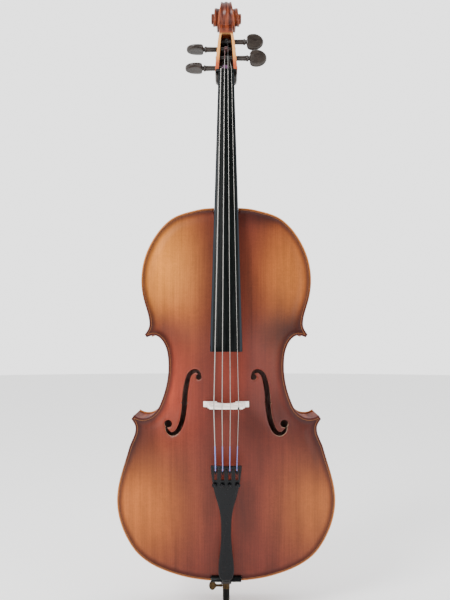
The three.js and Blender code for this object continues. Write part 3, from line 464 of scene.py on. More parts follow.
def makePiece(name, points, faces, *materials, sharpAngle=38):
    obj = addPiece(name, points, faces, materials)
    finishMesh(obj, sharpAngle)
    return obj


def merged(*parts):
    # several shells of (points, faces) in one list
    points, faces = [], []
    for partPoints, partFaces in parts:
        start = len(points)
        points += [tuple(p) for p in partPoints]
        faces += [[i + start for i in face] for face in partFaces]
    return points, faces


def loft(rings, capped=True):
    count = len(rings[0])
    points = [tuple(p) for ring in rings for p in ring]
    faces = []
    for r in range(len(rings) - 1):
        for i in range(count):
            a, b = r * count + i, r * count + (i + 1) % count
            faces.append([a, b, b + count, a + count])
    if capped:
        faces.append(list(range(count))[::-1])
        faces.append([(len(rings) - 1) * count + i for i in range(count)])
    return points, faces


def curveThrough(rows, steps):
    # Catmull-Rom through rows of any width
    rows = np.asarray(rows, float)
    padded = np.vstack([2 * rows[0] - rows[1], rows, 2 * rows[-1] - rows[-2]])
    out = []
    for i in range(1, len(padded) - 2):
        a, b, c, d = padded[i - 1:i + 3]
        for t in np.linspace(0, 1, steps, endpoint=False):
            out.append(0.5 * (2 * b + (c - a) * t + (2 * a - 5 * b + 4 * c - d) * t ** 2
                + (3 * b - a - 3 * c + d) * t ** 3))
    out.append(rows[-1])
    return np.array(out)


def turned(profile, sides=48):
    # profile of [radius, height] pairs about +Z; a radius of 0 at an end closes it
    rings = [[(r * math.cos(2 * math.pi * i / sides), r * math.sin(2 * math.pi * i / sides), z)
        for i in range(sides)] for r, z in profile]
    closed = profile[0] == profile[-1]
    return loft(rings, capped=not closed)


def moved(part, turn, shift):
    points, faces = part
    points = np.asarray(points, float) @ np.asarray(turn, float).T + np.asarray(shift, float)
    return points, faces


def alongX(side):
    # turns a shape built about +Z to lie along +X or -X
    return [[0, 0, side], [0, 1, 0], [-side, 0, 0]]


def fixNormals(obj):
    # each shell of a piece faces outwards by its own volume
    shape = bmesh.new()
    shape.from_mesh(obj.data)
    shape.faces.ensure_lookup_table()
    unseen = set(shape.faces)
    while unseen:
        stack, shell = [unseen.pop()], []
        while stack:
            face = stack.pop()
            shell.append(face)
            for edge in face.edges:
                for other in edge.link_faces:
                    if other in unseen:
                        unseen.discard(other)
                        stack.append(other)
        volume = 0.0
        for face in shell:
            origin = face.verts[0].co
            for a, b in zip(face.verts[1:], face.verts[2:]):
                volume += origin.dot(a.co.cross(b.co))
        if volume < 0:
            bmesh.ops.reverse_faces(shape, faces=shell)
    shape.to_mesh(obj.data)
    shape.free()


def claim(obj, body, slot, *nodes):
    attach(obj, body)
    if nodes:
        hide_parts(*nodes)


# body outline
# Knots are [half width, height above the lower edge, heading in degrees]; cubics by Hobby's rule join them.
body = {
    "bottom": 62, "length": 755, "ribHalf": 59, "edgeThick": 4.5, "plateThick": 4.5, "overhang": 3.5,
    "ribThick": 1.6, "bellyRise": 20.5, "backRise": 22.5, "rimRound": 2.1, "gutterDeep": 1.5,
    "heelHalf": 24.5, "mortise": 18, "buttonHalf": 14, "buttonHigh": 22, "spacing": 3.4,
    "saddleCut": (-30.8, 30.8, 40, 73.3), "plateInsets": (0.35, 0.9, 1.7, 2.6, 3.7, 5.0, 6.4),
    "bareFrom": 5.4,
    "archHalf": 113, "archLower": (100, 250, 375), "archUpper": (52, 475, 560), "archAlong": 1.7,
    "archAcross": 1.25,
    "gutterIn": (4.5, 10), "gutterOut": (12, 30),
    "lower": [[0, 0, 0], [100, 13, 17], [190, 69, 56], [221, 164, 90], [197, 268, 105], [183.5, 309, 90],
              [192, 328, 55]],
    "centre": [[187, 336, 214], [169, 330, 180], [134, 357, 113], [117, 433, 90], [126, 481, 61],
               [147, 497, 0],
               [161, 493, -18]],
    "upper": [[165, 499, 128], [155.5, 520, 90], [164, 559, 73], [172, 608, 90], [155, 679, 117],
              [115, 730, 142],
              [60, 751, 166], [0, 755, 180]],
}
plateFace = body["ribHalf"] + body["edgeThick"]
bodyTop = body["bottom"] + body["length"]


def hobbyHandle(theta, phi):
    root = math.sqrt(5)
    lean = (math.sqrt(2) * (math.sin(theta) - math.sin(phi) / 16)
            * (math.sin(phi) - math.sin(theta) / 16) * (math.cos(theta) - math.cos(phi)))
    return (2 + lean) / (3 * (1 + (root - 1) / 2 * math.cos(theta) + (3 - root) / 2 * math.cos(phi)))


def arcBetween(first, last, steps):
    start, end = np.array(first[:2], float), np.array(last[:2], float)
    chord = end - start
    heading = math.atan2(chord[1], chord[0])
    leave, arrive = math.radians(first[2]), math.radians(last[2])
    theta = math.remainder(leave - heading, math.tau)
    phi = math.remainder(heading - arrive, math.tau)
    reach = lambda a, b: math.hypot(*chord) * hobbyHandle(abs(a), -abs(b) if a * b < 0 else abs(b))
    c1 = start + np.array([math.cos(leave), math.sin(leave)]) * reach(theta, phi)
    c2 = end - np.array([math.cos(arrive), math.sin(arrive)]) * reach(phi, theta)
    t = np.linspace(0, 1, steps + 1)[:, None]
    return (1 - t) ** 3 * start + 3 * (1 - t) ** 2 * t * c1 + 3 * (1 - t) * t ** 2 * c2 + t ** 3 * end


def boutPath(knots, steps=12):
    path = [arcBetween(a, b, steps)[:-1] for a, b in zip(knots, knots[1:])]
    return np.vstack([*path, [knots[-1][:2]]]) + [0, body["bottom"]]


boutPaths = {bout: boutPath(body[bout]) for bout in ("lower", "centre", "upper")}
rightSide = np.vstack(list(boutPaths.values()))
leftSide = rightSide[::-1][1:-1] * [-1, 1]
plateOutline = np.vstack([rightSide, leftSide])


def smoothstep(value, low, high):
    t = np.clip((value - low) / (high - low), 0, 1)
    return t * t * (3 - 2 * t)


def swell(t, fullness):
    return np.where(t >= 1, 0, (np.cos(np.pi * np.clip(t, 0, 1) ** fullness) + 1) / 2)


def archHeight(x, z, top):
    h = z - body["bottom"]
    lower, lowerFrom, lowerTo = body["archLower"]
    upper, upperFrom, upperTo = body["archUpper"]
    half = body["archHalf"] + lower * (1 - smoothstep(h, lowerFrom, lowerTo)) + upper * smoothstep(h,
        upperFrom, upperTo)
    along = np.abs(h - body["length"] / 2) / (body["length"] / 2)
    return top * swell(along, body["archAlong"]) * swell(np.abs(x) / half, body["archAcross"])


def bellyOutside(x, z):
    return -plateFace - archHeight(np.asarray(x, float), np.asarray(z, float), body["bellyRise"])


# plates cut from an outline: a fine mesh, crisp at its edges
def insideOf(points, outline):
    x, z = points[:, 0], points[:, 1]
    inside = np.zeros(len(points), bool)
    for (x0, z0), (x1, z1) in zip(outline, np.roll(outline, -1, 0)):
        if z0 != z1:
            inside ^= ((z0 > z) != (z1 > z)) & (x < (x1 - x0) * (z - z0) / (z1 - z0) + x0)
    return inside


def distanceTo(points, outline):
    nearest = np.full(len(points), 1e9)
    for a, b in zip(outline, np.roll(outline, -1, 0)):
        run = b - a
        length = run @ run
        if length > 1e-12:
            t = np.clip((points - a) @ run / length, 0, 1)
            nearest = np.minimum(nearest, np.hypot(*(points - a - t[:, None] * run).T))
    return nearest


def insetLoop(outline, distance):
    before, after = np.roll(outline, 1, 0), np.roll(outline, -1, 0)
    one = outline - before
    two = after - outline
    one = one / np.hypot(*one.T)[:, None]
    two = two / np.hypot(*two.T)[:, None]
    lean = one + two
    lean = lean / np.hypot(*lean.T)[:, None]
    normal = np.stack([-lean[:, 1], lean[:, 0]], 1)
    mitre = np.clip(1 / np.maximum((normal * np.stack([-one[:, 1], one[:, 0]], 1)).sum(1), 0.45), 1, 2.2)
    return outline + normal * (distance * mitre)[:, None]


def anticlockwise(loop):
    x, z = loop.T
    return loop if (x * np.roll(z, -1) - np.roll(x, -1) * z).sum() > 0 else loop[::-1]


plating = {"nearRim": 0.55, "nearCut": 0.4, "far": 60.0, "onRim": 0.05, "sharp": 50}


def plateGrid(outline, cuts, spacing, rimClear, cutClear):
    # staggered points inside the outline, clear of its rim and of every cut
    low, high = outline.min(0), outline.max(0)
    reach = math.ceil(max(-low[0], high[0]) / spacing)
    columns = np.arange(-reach, reach + 1) * spacing
    rows = np.arange(low[1], high[1], spacing)
    grid = np.array([[x + (spacing / 2 if j % 2 else 0), z] for j, z in enumerate(rows) for x in columns])
    grid = grid[insideOf(grid, outline)]
    grid = grid[distanceTo(grid, outline) > rimClear + spacing * plating["nearRim"]]
    for cut in cuts:
        grid = grid[distanceTo(grid, cut) > cutClear + spacing * plating["nearCut"]]
    return grid


def plateTriangles(loops, grid, outline, cuts):
    points, edges = [], []
    for loop in loops:
        start = len(points)
        points += loop.tolist()
        edges += [(start + i, start + (i + 1) % len(loop)) for i in range(len(loop))]
    points += grid.tolist()
    found = delaunay_2d_cdt([Vector(p) for p in points], edges, [], 0, 1e-4)
    flat = np.array([tuple(p) for p in found[0]])
    triangles = np.array([list(f) for f in found[2] if len(f) == 3])
    middle = flat[triangles].mean(1)
    keep = insideOf(middle, outline)
    for cut in cuts:
        keep &= ~insideOf(middle, cut)
    used, triangles = np.unique(triangles[keep], return_inverse=True)
    return flat[used], triangles.reshape(-1, 3)


def cutPlate(name, outline, cuts, spacing, insets, place, *materials, cutInsets=(0.9,)):
    # place(points, edge, slit, side) gives each side's points; cuts are closed outlines and leave holes
    loops = [outline] + [insetLoop(outline, d) for d in insets]
    for cut in cuts:
        loops.append(cut)
        loops += [insetLoop(cut, -d) for d in cutInsets]
    grid = plateGrid(outline, cuts, spacing, insets[-1], cutInsets[-1])
    flat, triangles = plateTriangles(loops, grid, outline, cuts)
    edge = distanceTo(flat, outline)
    slit = np.full(len(flat), plating["far"])
    for cut in cuts:
        slit = np.minimum(slit, np.where(insideOf(flat, cut), 0, distanceTo(flat, cut)))
    count = len(flat)
    solid = np.vstack([place(flat, edge, slit, 0), place(flat, edge, slit, 1)])
    faces = triangles.tolist() + (triangles[:, ::-1] + count).tolist()
    paint = [0] * len(faces)
    if len(materials) == 3:
        deep = np.where(edge[triangles].min(1) > body["bareFrom"], 1, 0)
        paint[len(triangles):] = deep.tolist()
    links = dict.fromkeys(pair for a, b, c in triangles.tolist() for pair in ((a, b), (b, c), (c, a)))
    for a, b in links:
        if (b, a) not in links:
            faces.append([b, a, a + count, b + count])
            paint.append(0 if max(edge[a], edge[b]) < plating["onRim"] else len(materials) - 1)
    obj = addPiece(name, solid, faces, materials)
    mesh = obj.data
    mesh.polygons.foreach_set("material_index", paint)
    for label, values in (("edgeDistance", edge), ("slitDistance", slit)):
        attribute = mesh.attributes.new(label, "FLOAT", "POINT")
        attribute.data.foreach_set("value", np.tile(np.minimum(values, plating["far"]), 2).astype(np.float32))
    shape = bmesh.new()
    shape.from_mesh(mesh)
    faceOutwards(shape)
    shape.to_mesh(mesh)
    shape.free()
    mesh.shade_smooth()
    mesh.set_sharp_from_angle(angle=math.radians(plating["sharp"]))
    return obj


def rimDrop(edge, radius):
    # how far a rounded rim falls back at a distance from the outline
    inside = np.clip(radius - edge, 0, radius)
    return radius - np.sqrt(np.maximum(radius ** 2 - inside ** 2, 0))


def gutterDrop(edge):
    return body["gutterDeep"] * smoothstep(edge, *body["gutterIn"]) * (1 - smoothstep(edge,
        *body["gutterOut"]))


# f-holes: half spacing and height above the lower edge; the stem adds its width
fHoles = {
    "upperEye": (55.2, 413.6, 5.8), "lowerEye": (117.2, 318.8, 7.8), "nick": (84.2, 361, 3.2),
    "stem": [[51.5, 417, 4], [57.5, 424.5, 7], [66, 425, 8], [74.6, 417, 8.8], [79.4, 401, 10],
             [83, 378, 10.6],
             [84.8, 350, 10.4], [89, 325, 9.8], [97, 306, 9], [108, 298.5, 8], [117, 303, 7], [122, 312, 4]],
}


def fHoleCuts(side):
    spine = curveThrough(fHoles["stem"], 6)
    run = np.gradient(spine[:, :2], axis=0)
    run = run / np.hypot(*run.T)[:, None]
    normal = np.stack([-run[:, 1], run[:, 0]], 1) * spine[:, 2:] / 2
    slit = np.vstack([spine[:, :2] + normal, (spine[:, :2] - normal)[::-1]])
    shapes = [slit]
    for key in ("upperEye", "lowerEye"):
        x, h, radius = fHoles[key]
        angle = np.linspace(0, 2 * np.pi, 29)[:-1]
        shapes.append(np.stack([x + radius * np.cos(angle), h + radius * np.sin(angle)], 1))
    x, h, size = fHoles["nick"]
    for way in (-1, 1):
        tip = x + way * (5.0 + size)
        shapes.append(np.array([[x + way * 2, h - size], [tip, h], [x + way * 2, h + size]]))
    out = []
    for shape in shapes:
        out.append(anticlockwise((shape + [0, body["bottom"]]) * [side, 1]))
    return out


def boxCut(xLow, xHigh, zLow, zHigh):
    return np.array([[xLow, zLow], [xHigh, zLow], [xHigh, zHigh], [xLow, zHigh]], float)


def makeBelly():
    def place(flat, edge, slit, side):
        x, z = flat.T
        front = -plateFace - archHeight(x, z, body["bellyRise"])
        if side:
            y = np.minimum(front + body["plateThick"], -body["ribHalf"]) - rimDrop(edge, body["rimRound"])
        else:
            lip = 0.8 * np.clip(1 - slit / 0.9, 0, 1)
            y = front + rimDrop(edge, body["rimRound"]) + gutterDrop(edge) + lip
        return np.stack([x, y, z], 1)

    cuts = [boxCut(-body["heelHalf"], body["heelHalf"], bodyTop - body["mortise"] - 0.3, bodyTop + 20),
        boxCut(*body["saddleCut"])]
    cuts += fHoleCuts(1) + fHoleCuts(-1)
    belly = cutPlate("belly", plateOutline, cuts, body["spacing"], body["plateInsets"], place, bellyVarnish,
        innerWood, cutWood)
    claim(belly, "instrument", "belly_varnish", "top_plate")


def makeBack():
    arc = np.linspace(0, math.pi, 17)
    button = np.stack([body["buttonHalf"] * np.cos(arc), bodyTop + body["buttonHigh"] - body["buttonHalf"]
        + body["buttonHalf"] * np.sin(arc)], 1)
    right = rightSide[(rightSide[:, 0] > body["buttonHalf"] + 1.5) | (rightSide[:, 1] < bodyTop - 60)]
    outline = np.vstack([right, [[15.2, bodyTop + 0.4], [14.2, bodyTop + 2.5]], button,
        [[-14.2, bodyTop + 2.5], [-15.2, bodyTop + 0.4]], right[::-1][:-1] * [-1, 1]])

    def place(flat, edge, slit, side):
        x, z = flat.T
        outside = plateFace + archHeight(x, z, body["backRise"])
        if side:
            y = np.maximum(outside - body["plateThick"], body["ribHalf"]) + rimDrop(edge, body["rimRound"])
        else:
            y = outside - rimDrop(edge, body["rimRound"]) - gutterDrop(edge) * (z < bodyTop - 4)
        return np.stack([x, y, z], 1)

    back = cutPlate("back", outline, [], body["spacing"] + 0.6, body["plateInsets"], place, backVarnish,
        innerWood, backVarnish)
    claim(back, "instrument", "maple_varnish", "back_plate")


def openInset(path, distance):
    run = np.gradient(path, axis=0)
    run = run / np.hypot(*run.T)[:, None]
    return path + np.stack([-run[:, 1], run[:, 0]], 1) * distance


def makeRibs():
    reach = body["ribHalf"] - 0.3
    spans = {"lower": (12.8, 0), "centre": (0, 0), "upper": (0, 24.8)}
    for bout, (start, end) in spans.items():
        path = boutPaths[bout]
        outer = openInset(path, body["overhang"])
        inner = openInset(path, body["overhang"] + body["ribThick"] - 0.06)
        inside = np.ones(len(path), bool)
        if start:
            inside &= ~((outer[:, 0] < start) & (outer[:, 1] < 300))
        if end:
            inside &= ~((outer[:, 0] < end) & (outer[:, 1] > 300))
        outer, inner = outer[inside], inner[inside]
        for sideName, side in (("treble", 1), ("bass", -1)):
            rings = []
            for (xa, za), (xb, zb) in zip(outer, inner):
                rings.append([(side * xa, -reach, za), (side * xa, reach, za), (side * xb, reach, zb),
                    (side * xb, -reach, zb)])
            rib = makePiece(f"rib_{bout}_{sideName}", *loft(rings), ribVarnish)
            claim(rib, "instrument", "maple_varnish", f"{bout}_rib_{sideName}")


makeBelly()
print("belly carved")
makeBack()
makeRibs()
for nodeName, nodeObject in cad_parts.items():
    if "lining" in nodeName or "block" in nodeName or nodeName in ("bass_bar", "sound_post"):
        nodeObject.data.materials.clear()
        nodeObject.data.materials.append(innerWood)
print("back and ribs made")

# fingerboard, nut and saddle
board = {
    "slope": 0.1693, "front": -97.5, "end": 528, "halfAtNut": 16, "widen": 0.0272, "radius": 62,
    "glueSlope": 0.1604, "glueFront": -86.8, "across": 28,
}
nut = {"z": 1097, "front": -51, "half": 22, "notch": 0.5, "section": [(0, 0.5), (0.5, 0.1), (1.2, 0),
    (3.6, 0.0), (5.2, 0.6), (6.1, 1.7), (6.5, 3.2)]}
saddle = {"half": 30.5, "low": 62.3, "high": 73, "front": -73}
bridgeZ = 422


def boardFront(z):
    return board["front"] + board["slope"] * (z - bodyTop)


def gluePlane(z):
    return board["glueFront"] + board["glueSlope"] * (z - bodyTop)


def makeFingerboard():
    def ring(z, shrink=0.0):
        half = board["halfAtNut"] + board["widen"] * (nut["z"] - z) - shrink
        under = gluePlane(z) - 0.3
        count = board["across"]
        top = []
        for i in range(count + 1):
            x = half * (2 * i / count - 1)
            drop = 0.8 * max(0.0, (abs(x) - half + 1.0)) ** 2 + shrink
            top.append((x, boardFront(z) + x * x / (2 * board["radius"]) + drop, z))
        hollow = 5.0 * float(smoothstep(np.float64(bodyTop - 25 - z), 0, 30)) if z < bodyTop else 0.0
        low = []
        for i in range(count + 1):
            x = half * (1 - 2 * i / count)
            curve = math.cos(math.pi * x / (2 * half)) ** 0.8 * (abs(x) < half * 0.999)
            low.append((x, under - hollow * curve, z))
        return top + low
    heights = [board["end"], board["end"] + 0.5, board["end"] + 1.2, *np.linspace(board["end"] + 12,
        nut["z"] - 0.3, 40)]
    shrinks = [0.8, 0.25, 0] + [0] * 40
    piece = makePiece("fingerboard_ebony", *loft([ring(z, s) for z, s in zip(heights, shrinks)]), ebony,
        sharpAngle=50)
    claim(piece, "instrument", "ebony", "fingerboard")


def makeNut():
    def ring(z, lower):
        count = 60
        top = []
        for i in range(count + 1):
            x = nut["half"] * (2 * i / count - 1)
            groove = sum(nut["notch"] * math.exp(-((x - place * 7.2) / 0.8) ** 2)
                for place in (-1.5, -0.5, 0.5, 1.5))
            edge = max(0.0, abs(x) - nut["half"] + 2.0)
            top.append((x, nut["front"] + lower + groove + x * x / (2 * board["radius"]) + 0.35 * edge ** 2,
                z))
        return top + [(nut["half"], gluePlane(z) - 0.3, z), (-nut["half"], gluePlane(z) - 0.3, z)]
    piece = makePiece("nut_ebony", *loft([ring(nut["z"] + h, low) for h, low in nut["section"]]), ebony)
    claim(piece, "instrument", "ebony", "nut")


def makeSaddle():
    back = -body["ribHalf"] - 0.3
    section = [[back, saddle["low"]], [saddle["front"] + 4, saddle["low"]],
        [saddle["front"] + 1, saddle["low"] + 2], [saddle["front"], saddle["low"] + 5],
        [saddle["front"], saddle["high"] - 7], [saddle["front"] + 1.6, saddle["high"] - 3],
        [saddle["front"] + 6, saddle["high"]], [back, saddle["high"]]]
    rings = []
    for x in (-1, -0.985, 0.985, 1):
        shrink = 0.6 if abs(x) == 1 else 0
        rings.append([(x * saddle["half"], min(y + shrink, back), z - shrink * (1 if z > 70 else -1)) for y,
            z in section])
    claim(makePiece("saddle_ebony", *loft(rings), ebony), "instrument", "ebony", "saddle")


makeFingerboard()
makeNut()
makeSaddle()
print("fingerboard, nut and saddle made")

# bridge
bridge = {
    "crownFront": -176, "crownHalf": 32, "crownRadius": 68, "feetThick": 11.5, "crownThick": 3,
    "feetOut": 45.5, "feetIn": 18.5, "heart": [[0, 128], [-9, 140], [-6, 150], [0, 146], [6, 150], [9, 140]],
    "kidney": [[13, 118], [28, 122], [28, 132], [19, 136]],
}


def crownFront(x):
    return bridge["crownFront"] + x * x / (2 * bridge["crownRadius"])


def makeBridge():
    foot = lambda x: -float(bellyOutside(x, bridgeZ)) + 0.7
    out, inner = bridge["feetOut"], bridge["feetIn"]
    low = foot(inner) + 9
    archway = [[19 * math.cos(a), low + 20 * math.sin(a)] for a in np.linspace(0, math.pi, 21)][::-1]
    flank = curveThrough([[out, foot(out) + 4], [38, foot(out) + 12], [33, 118], [36, 132], [31.5, 146],
        [bridge["crownHalf"], -crownFront(bridge["crownHalf"])]], 6)
    crown = [[x, -crownFront(x)] for x in np.linspace(bridge["crownHalf"], -bridge["crownHalf"], 41)[1:-1]]
    outline = [[-out, foot(out)], [-32, foot(32)], [-inner, foot(inner)]] + archway
    outline += [[inner, foot(inner)], [32, foot(32)], [out, foot(out)]] + flank.tolist() + crown
    outline += [[-x, h] for x, h in flank[::-1]]
    holes = [np.array(bridge["heart"], float)]
    holes += [np.array(bridge["kidney"], float) * [side, 1] for side in (1, -1)]
    rounded = []
    for hole in holes:
        rounded.append(anticlockwise(curveThrough(np.vstack([hole, hole[:1]]), 6)[:-1]))
    top = -bridge["crownFront"]

    def place(flat, edge, slit, side):
        x, h = flat.T
        share = np.clip((h - 84) / (top - 84), 0, 1)
        thick = bridge["feetThick"] + (bridge["crownThick"] - bridge["feetThick"]) * share
        bulge = np.minimum(edge, slit)
        half = thick / 2 - 0.5 * np.clip(1 - bulge / 0.6, 0, 1)
        return np.stack([x, -h, bridgeZ + (half if side else -half)], 1)

    outline = anticlockwise(np.array(outline, float))
    piece = cutPlate("bridge_maple", outline, rounded, 2.2, (0.6,), place, bridgeWood, cutInsets=(0.6,))
    claim(piece, "instrument", "bridge_wood", "bridge")


makeBridge()
print("bridge made")

# neck, pegbox and scroll, carved as one
# Neck stations: height, half width, back of the wood, squareness.
# Pegbox stations: front y and z, back y and z, half width, wall, floor thickness.
# Scroll stations: turn in degrees, radius, half width.
neck = {
    "voxel": 1.05,
    "stations": [[799, 22.6, 58.7, .45], [819, 22.8, 58.7, .5], [837, 22.6, 58.7, .55], [842, 22.5, 46, .6],
                 [847, 22.4, 20, .65], [853, 22.2, -10, .7], [861, 22, -34, .75], [873, 21.7, -50, .8],
                 [892, 21.2, -53.5, .85], [977, 18.9, -39.5, .85], [1057, 16.8, -28.5, .85],
                 [1083, 16.2, -24, .85],
                 [1090, 16.2, -20, .85]],
    "pegbox": [[-42.6, 1089, -21, 1080, 20.5, 8, 11], [-40.2, 1104, -6, 1080, 22.8, 8.8, 9],
               [-36, 1116, 6, 1097, 22.3, 8.8, 8],
               [-27, 1136, 18, 1117, 21, 8.5, 8], [-14, 1161, 33, 1142, 18.8, 7.5, 9],
               [-1, 1184, 48, 1167, 16.6, 7, 9],
               [10, 1199, 60, 1188, 15, 7, 11]],
    "chin": [[-42.6, 1089, -21, 1079, 20.5], [-41.5, 1097, -10, 1078.5, 22.6]],
    "throat": [[6, 1193, 57, 1183, 15.3], [12, 1206, 66, 1198, 14.2], [20, 1218, 74, 1214, 13.2],
               [24, 1232, 79, 1232, 12.6]],
    "scrollCentre": (42, 1238.5),
    "scroll": [[-60, 37.5, 12.6], [0, 37, 12], [90, 36, 10.6], [140, 34.5, 12.8], [180, 32.5, 16.5],
               [230, 30, 18.8],
               [270, 28.5, 19.5], [360, 26, 22],
               [450, 23.5, 24.5], [540, 20.5, 26.5], [630, 17, 28.5], [720, 14, 30.5], [810, 11.5, 32.3]],
    "flute": 2.3, "hollow": 3.2,
}


def neckRing(z, half, back, square):
    front = gluePlane(z)
    angles = np.linspace(0, math.pi, 33)
    return [(-half * math.cos(a), front + (back - front) * math.sin(a) ** square, z) for a in angles]


def troughRing(station):
    # open channel between two cheeks; its back carries two flutes with a ridge between
    frontY, frontZ, backY, backZ, half, wall, floor = station
    depth = math.hypot(backY - frontY, backZ - frontZ)
    inner = half - wall
    section = [(-half, 0), (-half, 0.62), (-half * 0.95, 0.84), (-half * 0.8, 0.95), (-half * 0.62, 0.985),
        (-half * 0.4, 0.95), (-half * 0.16, 0.965), (0, 1.0), (half * 0.16, 0.965), (half * 0.4, 0.95),
        (half * 0.62, 0.985), (half * 0.8, 0.95), (half * 0.95, 0.84), (half, 0.62), (half, 0),
        (inner + 1, 0), (inner, 0.05), (inner * 0.96, 1 - floor / depth), (-inner * 0.96, 1 - floor / depth),
        (-inner, 0.05), (-inner - 1, 0)]
    return [(x, frontY + (backY - frontY) * deep, frontZ + (backZ - frontZ) * deep) for x, deep in section]


def blockRing(station):
    frontY, frontZ, backY, backZ, half = station
    section = [(-half, 0), (-half, 0.6), (-half * 0.9, 0.86), (-half * 0.62, 0.99), (-half * 0.35, 0.95),
        (0, 1), (half * 0.35, 0.95), (half * 0.62, 0.99), (half * 0.9, 0.86), (half, 0.6), (half, 0)]
    return [(x, frontY + (backY - frontY) * deep, frontZ + (backZ - frontZ) * deep) for x, deep in section]


def scrollWedges():
    # sectors from the axis to the outer band; where turns cover each other the widest shows
    spiral = curveThrough(neck["scroll"], 10)
    centreY, centreZ = neck["scrollCentre"]
    across = np.linspace(-1, 1, 17)
    parts = []
    for (a0, r0, w0), (a1, r1, w1) in zip(spiral, spiral[1:]):
        rings = []
        for angle, radius, half in ((a0 - 0.6, r0, w0), (a1 + 0.6, r1, w1)):
            turn = math.radians(angle)
            inner = radius * 0.62
            ring = [(-half + neck["hollow"] * 0.8, 0.0), (-half + neck["hollow"], inner),
                (-half + 0.3, radius - 2.0)]
            for u in across:
                dip = neck["flute"] * math.sin(math.pi * u) ** 2 + (0.8 if abs(u) == 1 else 0)
                ring.append((u * (half - 0.2), radius - dip))
            ring += [(half - 0.3, radius - 2.0), (half - neck["hollow"], inner),
                (half - neck["hollow"] * 0.8, 0.0)]
            rings.append([(x, centreY + r * math.cos(turn), centreZ + r * math.sin(turn)) for x, r in ring])
        parts.append(loft(rings))
    eye = turned([[0, -32.3], [9.6, -32.3], [11, -31.2], [11, 31.2], [9.6, 32.3], [0, 32.3]], 40)
    parts.append(moved(eye, alongX(1), (0, centreY, centreZ)))
    return parts


def voxelUnion(name, parts, voxel, smoothing):
    obj = makePiece(name, *merged(*parts))
    remesh = obj.modifiers.new("carve", "REMESH")
    remesh.mode = "VOXEL"
    remesh.voxel_size = voxel * metres
    remesh.adaptivity = 0
    soft = obj.modifiers.new("scrape", "SMOOTH")
    soft.factor = 0.5
    soft.iterations = smoothing
    return applied(obj)


def makeNeck():
    rows = curveThrough(neck["stations"], 5)
    parts = [loft([neckRing(*row) for row in rows])]
    parts.append(loft([troughRing(row) for row in curveThrough(neck["pegbox"], 6)]))
    parts.append(loft([blockRing(row) for row in curveThrough(neck["chin"], 5)]))
    parts.append(loft([blockRing(row) for row in curveThrough(neck["throat"], 5)]))
    parts += scrollWedges()
    piece = voxelUnion("neck_scroll", parts, neck["voxel"], 4)
    piece.data.materials.clear()
    piece.data.materials.append(neckVarnish)
    finishMesh(piece, 60)
    claim(piece, "instrument", "maple_varnish", "neck")


makeNeck()
print("neck and scroll carved")

# pegs
pegs = {
    # the collar beside the cheek: radius, and distance from where the collar starts
    "collar": [[5.0, -0.6], [5.6, -0.3], [6.3, 0.4], [6.6, 1.7], [6.6, 2.4], [6.2, 3.6], [5.4, 4.3],
               [4.6, 4.6], [4.5, 5.6],
               [5.2, 6.6], [6.4, 7.6], [0, 8.6]],
    "farRadius": 4.5, "nearRadius": 5.5, "collarAt": 42, "headAt": 49,
    "each": [
        {"name": "c", "side": -1, "y": -22, "z": 1112, "wall": 22.4, "lean": 72, "out": 0.5},
        {"name": "g", "side": -1, "y": 4.5, "z": 1160, "wall": 18.9, "lean": 75, "out": -1},
        {"name": "d", "side": 1, "y": 19, "z": 1181, "wall": 16.8, "lean": 0, "out": -5.5},
        {"name": "a", "side": 1, "y": -11, "z": 1136.5, "wall": 21, "lean": 8, "out": 0},
    ],
    # along the head: distance, half width, half thickness, squareness
    "head": [[0, 8.5, 5.6, 2.2], [0.5, 11, 6.6, 2.3], [2, 13.6, 7.0, 2.5], [5, 15.9, 6.3, 2.6],
             [10, 17.2, 5.3, 2.6],
             [17, 17.3, 4.9, 2.6], [23, 15.9, 5.2, 2.5], [28, 13.2, 5.5, 2.4], [32, 9.6, 5.2, 2.2],
             [34.4, 5.6, 3.8, 2.1],
             [35.3, 2.0, 1.5, 2.0]],
}


def headRing(along, half, thick, square, lean):
    out = []
    for angle in np.linspace(0, 2 * math.pi, 41)[:-1]:
        c, s = math.cos(angle), math.sin(angle)
        u = half * math.copysign(abs(c) ** (2 / square), c)
        v = thick * math.copysign(abs(s) ** (2 / square), s)
        v *= 1 - 0.12 * math.exp(-(u / (0.45 * half + 1e-6)) ** 2) * min(1, half / 12)
        out.append((along, v * math.cos(lean) - u * math.sin(lean), v * math.sin(lean) + u * math.cos(lean)))
    return out


def makePegs():
    for peg in pegs["each"]:
        side, collar = peg["side"], pegs["collarAt"] + peg["out"]
        slope = (pegs["nearRadius"] - pegs["farRadius"]) / (collar + peg["wall"])
        at = lambda place: pegs["farRadius"] + slope * (place + peg["wall"])
        tip = -peg["wall"] - 1
        shaft = turned([[0, tip], [3.6, tip], [4.3, tip + 0.5], [at(tip), tip + 1.2],
            [at(collar - 1), collar - 1], *[[radius, collar + along] for radius, along in pegs["collar"]]],
            40)
        parts = [moved(shaft, alongX(side), (0, peg["y"], peg["z"]))]
        lean = math.radians(peg["lean"])
        rings = [headRing(*row, lean) for row in curveThrough(pegs["head"], 4)]
        points, faces = loft(rings)
        points = [(side * (x + pegs["headAt"] + peg["out"]), y + peg["y"], z + peg["z"]) for x, y,
            z in points]
        parts.append((points, faces))
        piece = makePiece("peg_" + peg["name"] + "_wood", *merged(*parts), pegWood, sharpAngle=45)
        fixNormals(piece)
        claim(piece, peg["name"] + "_peg", "peg_wood", "peg_" + peg["name"])


makePegs()
print("pegs turned")

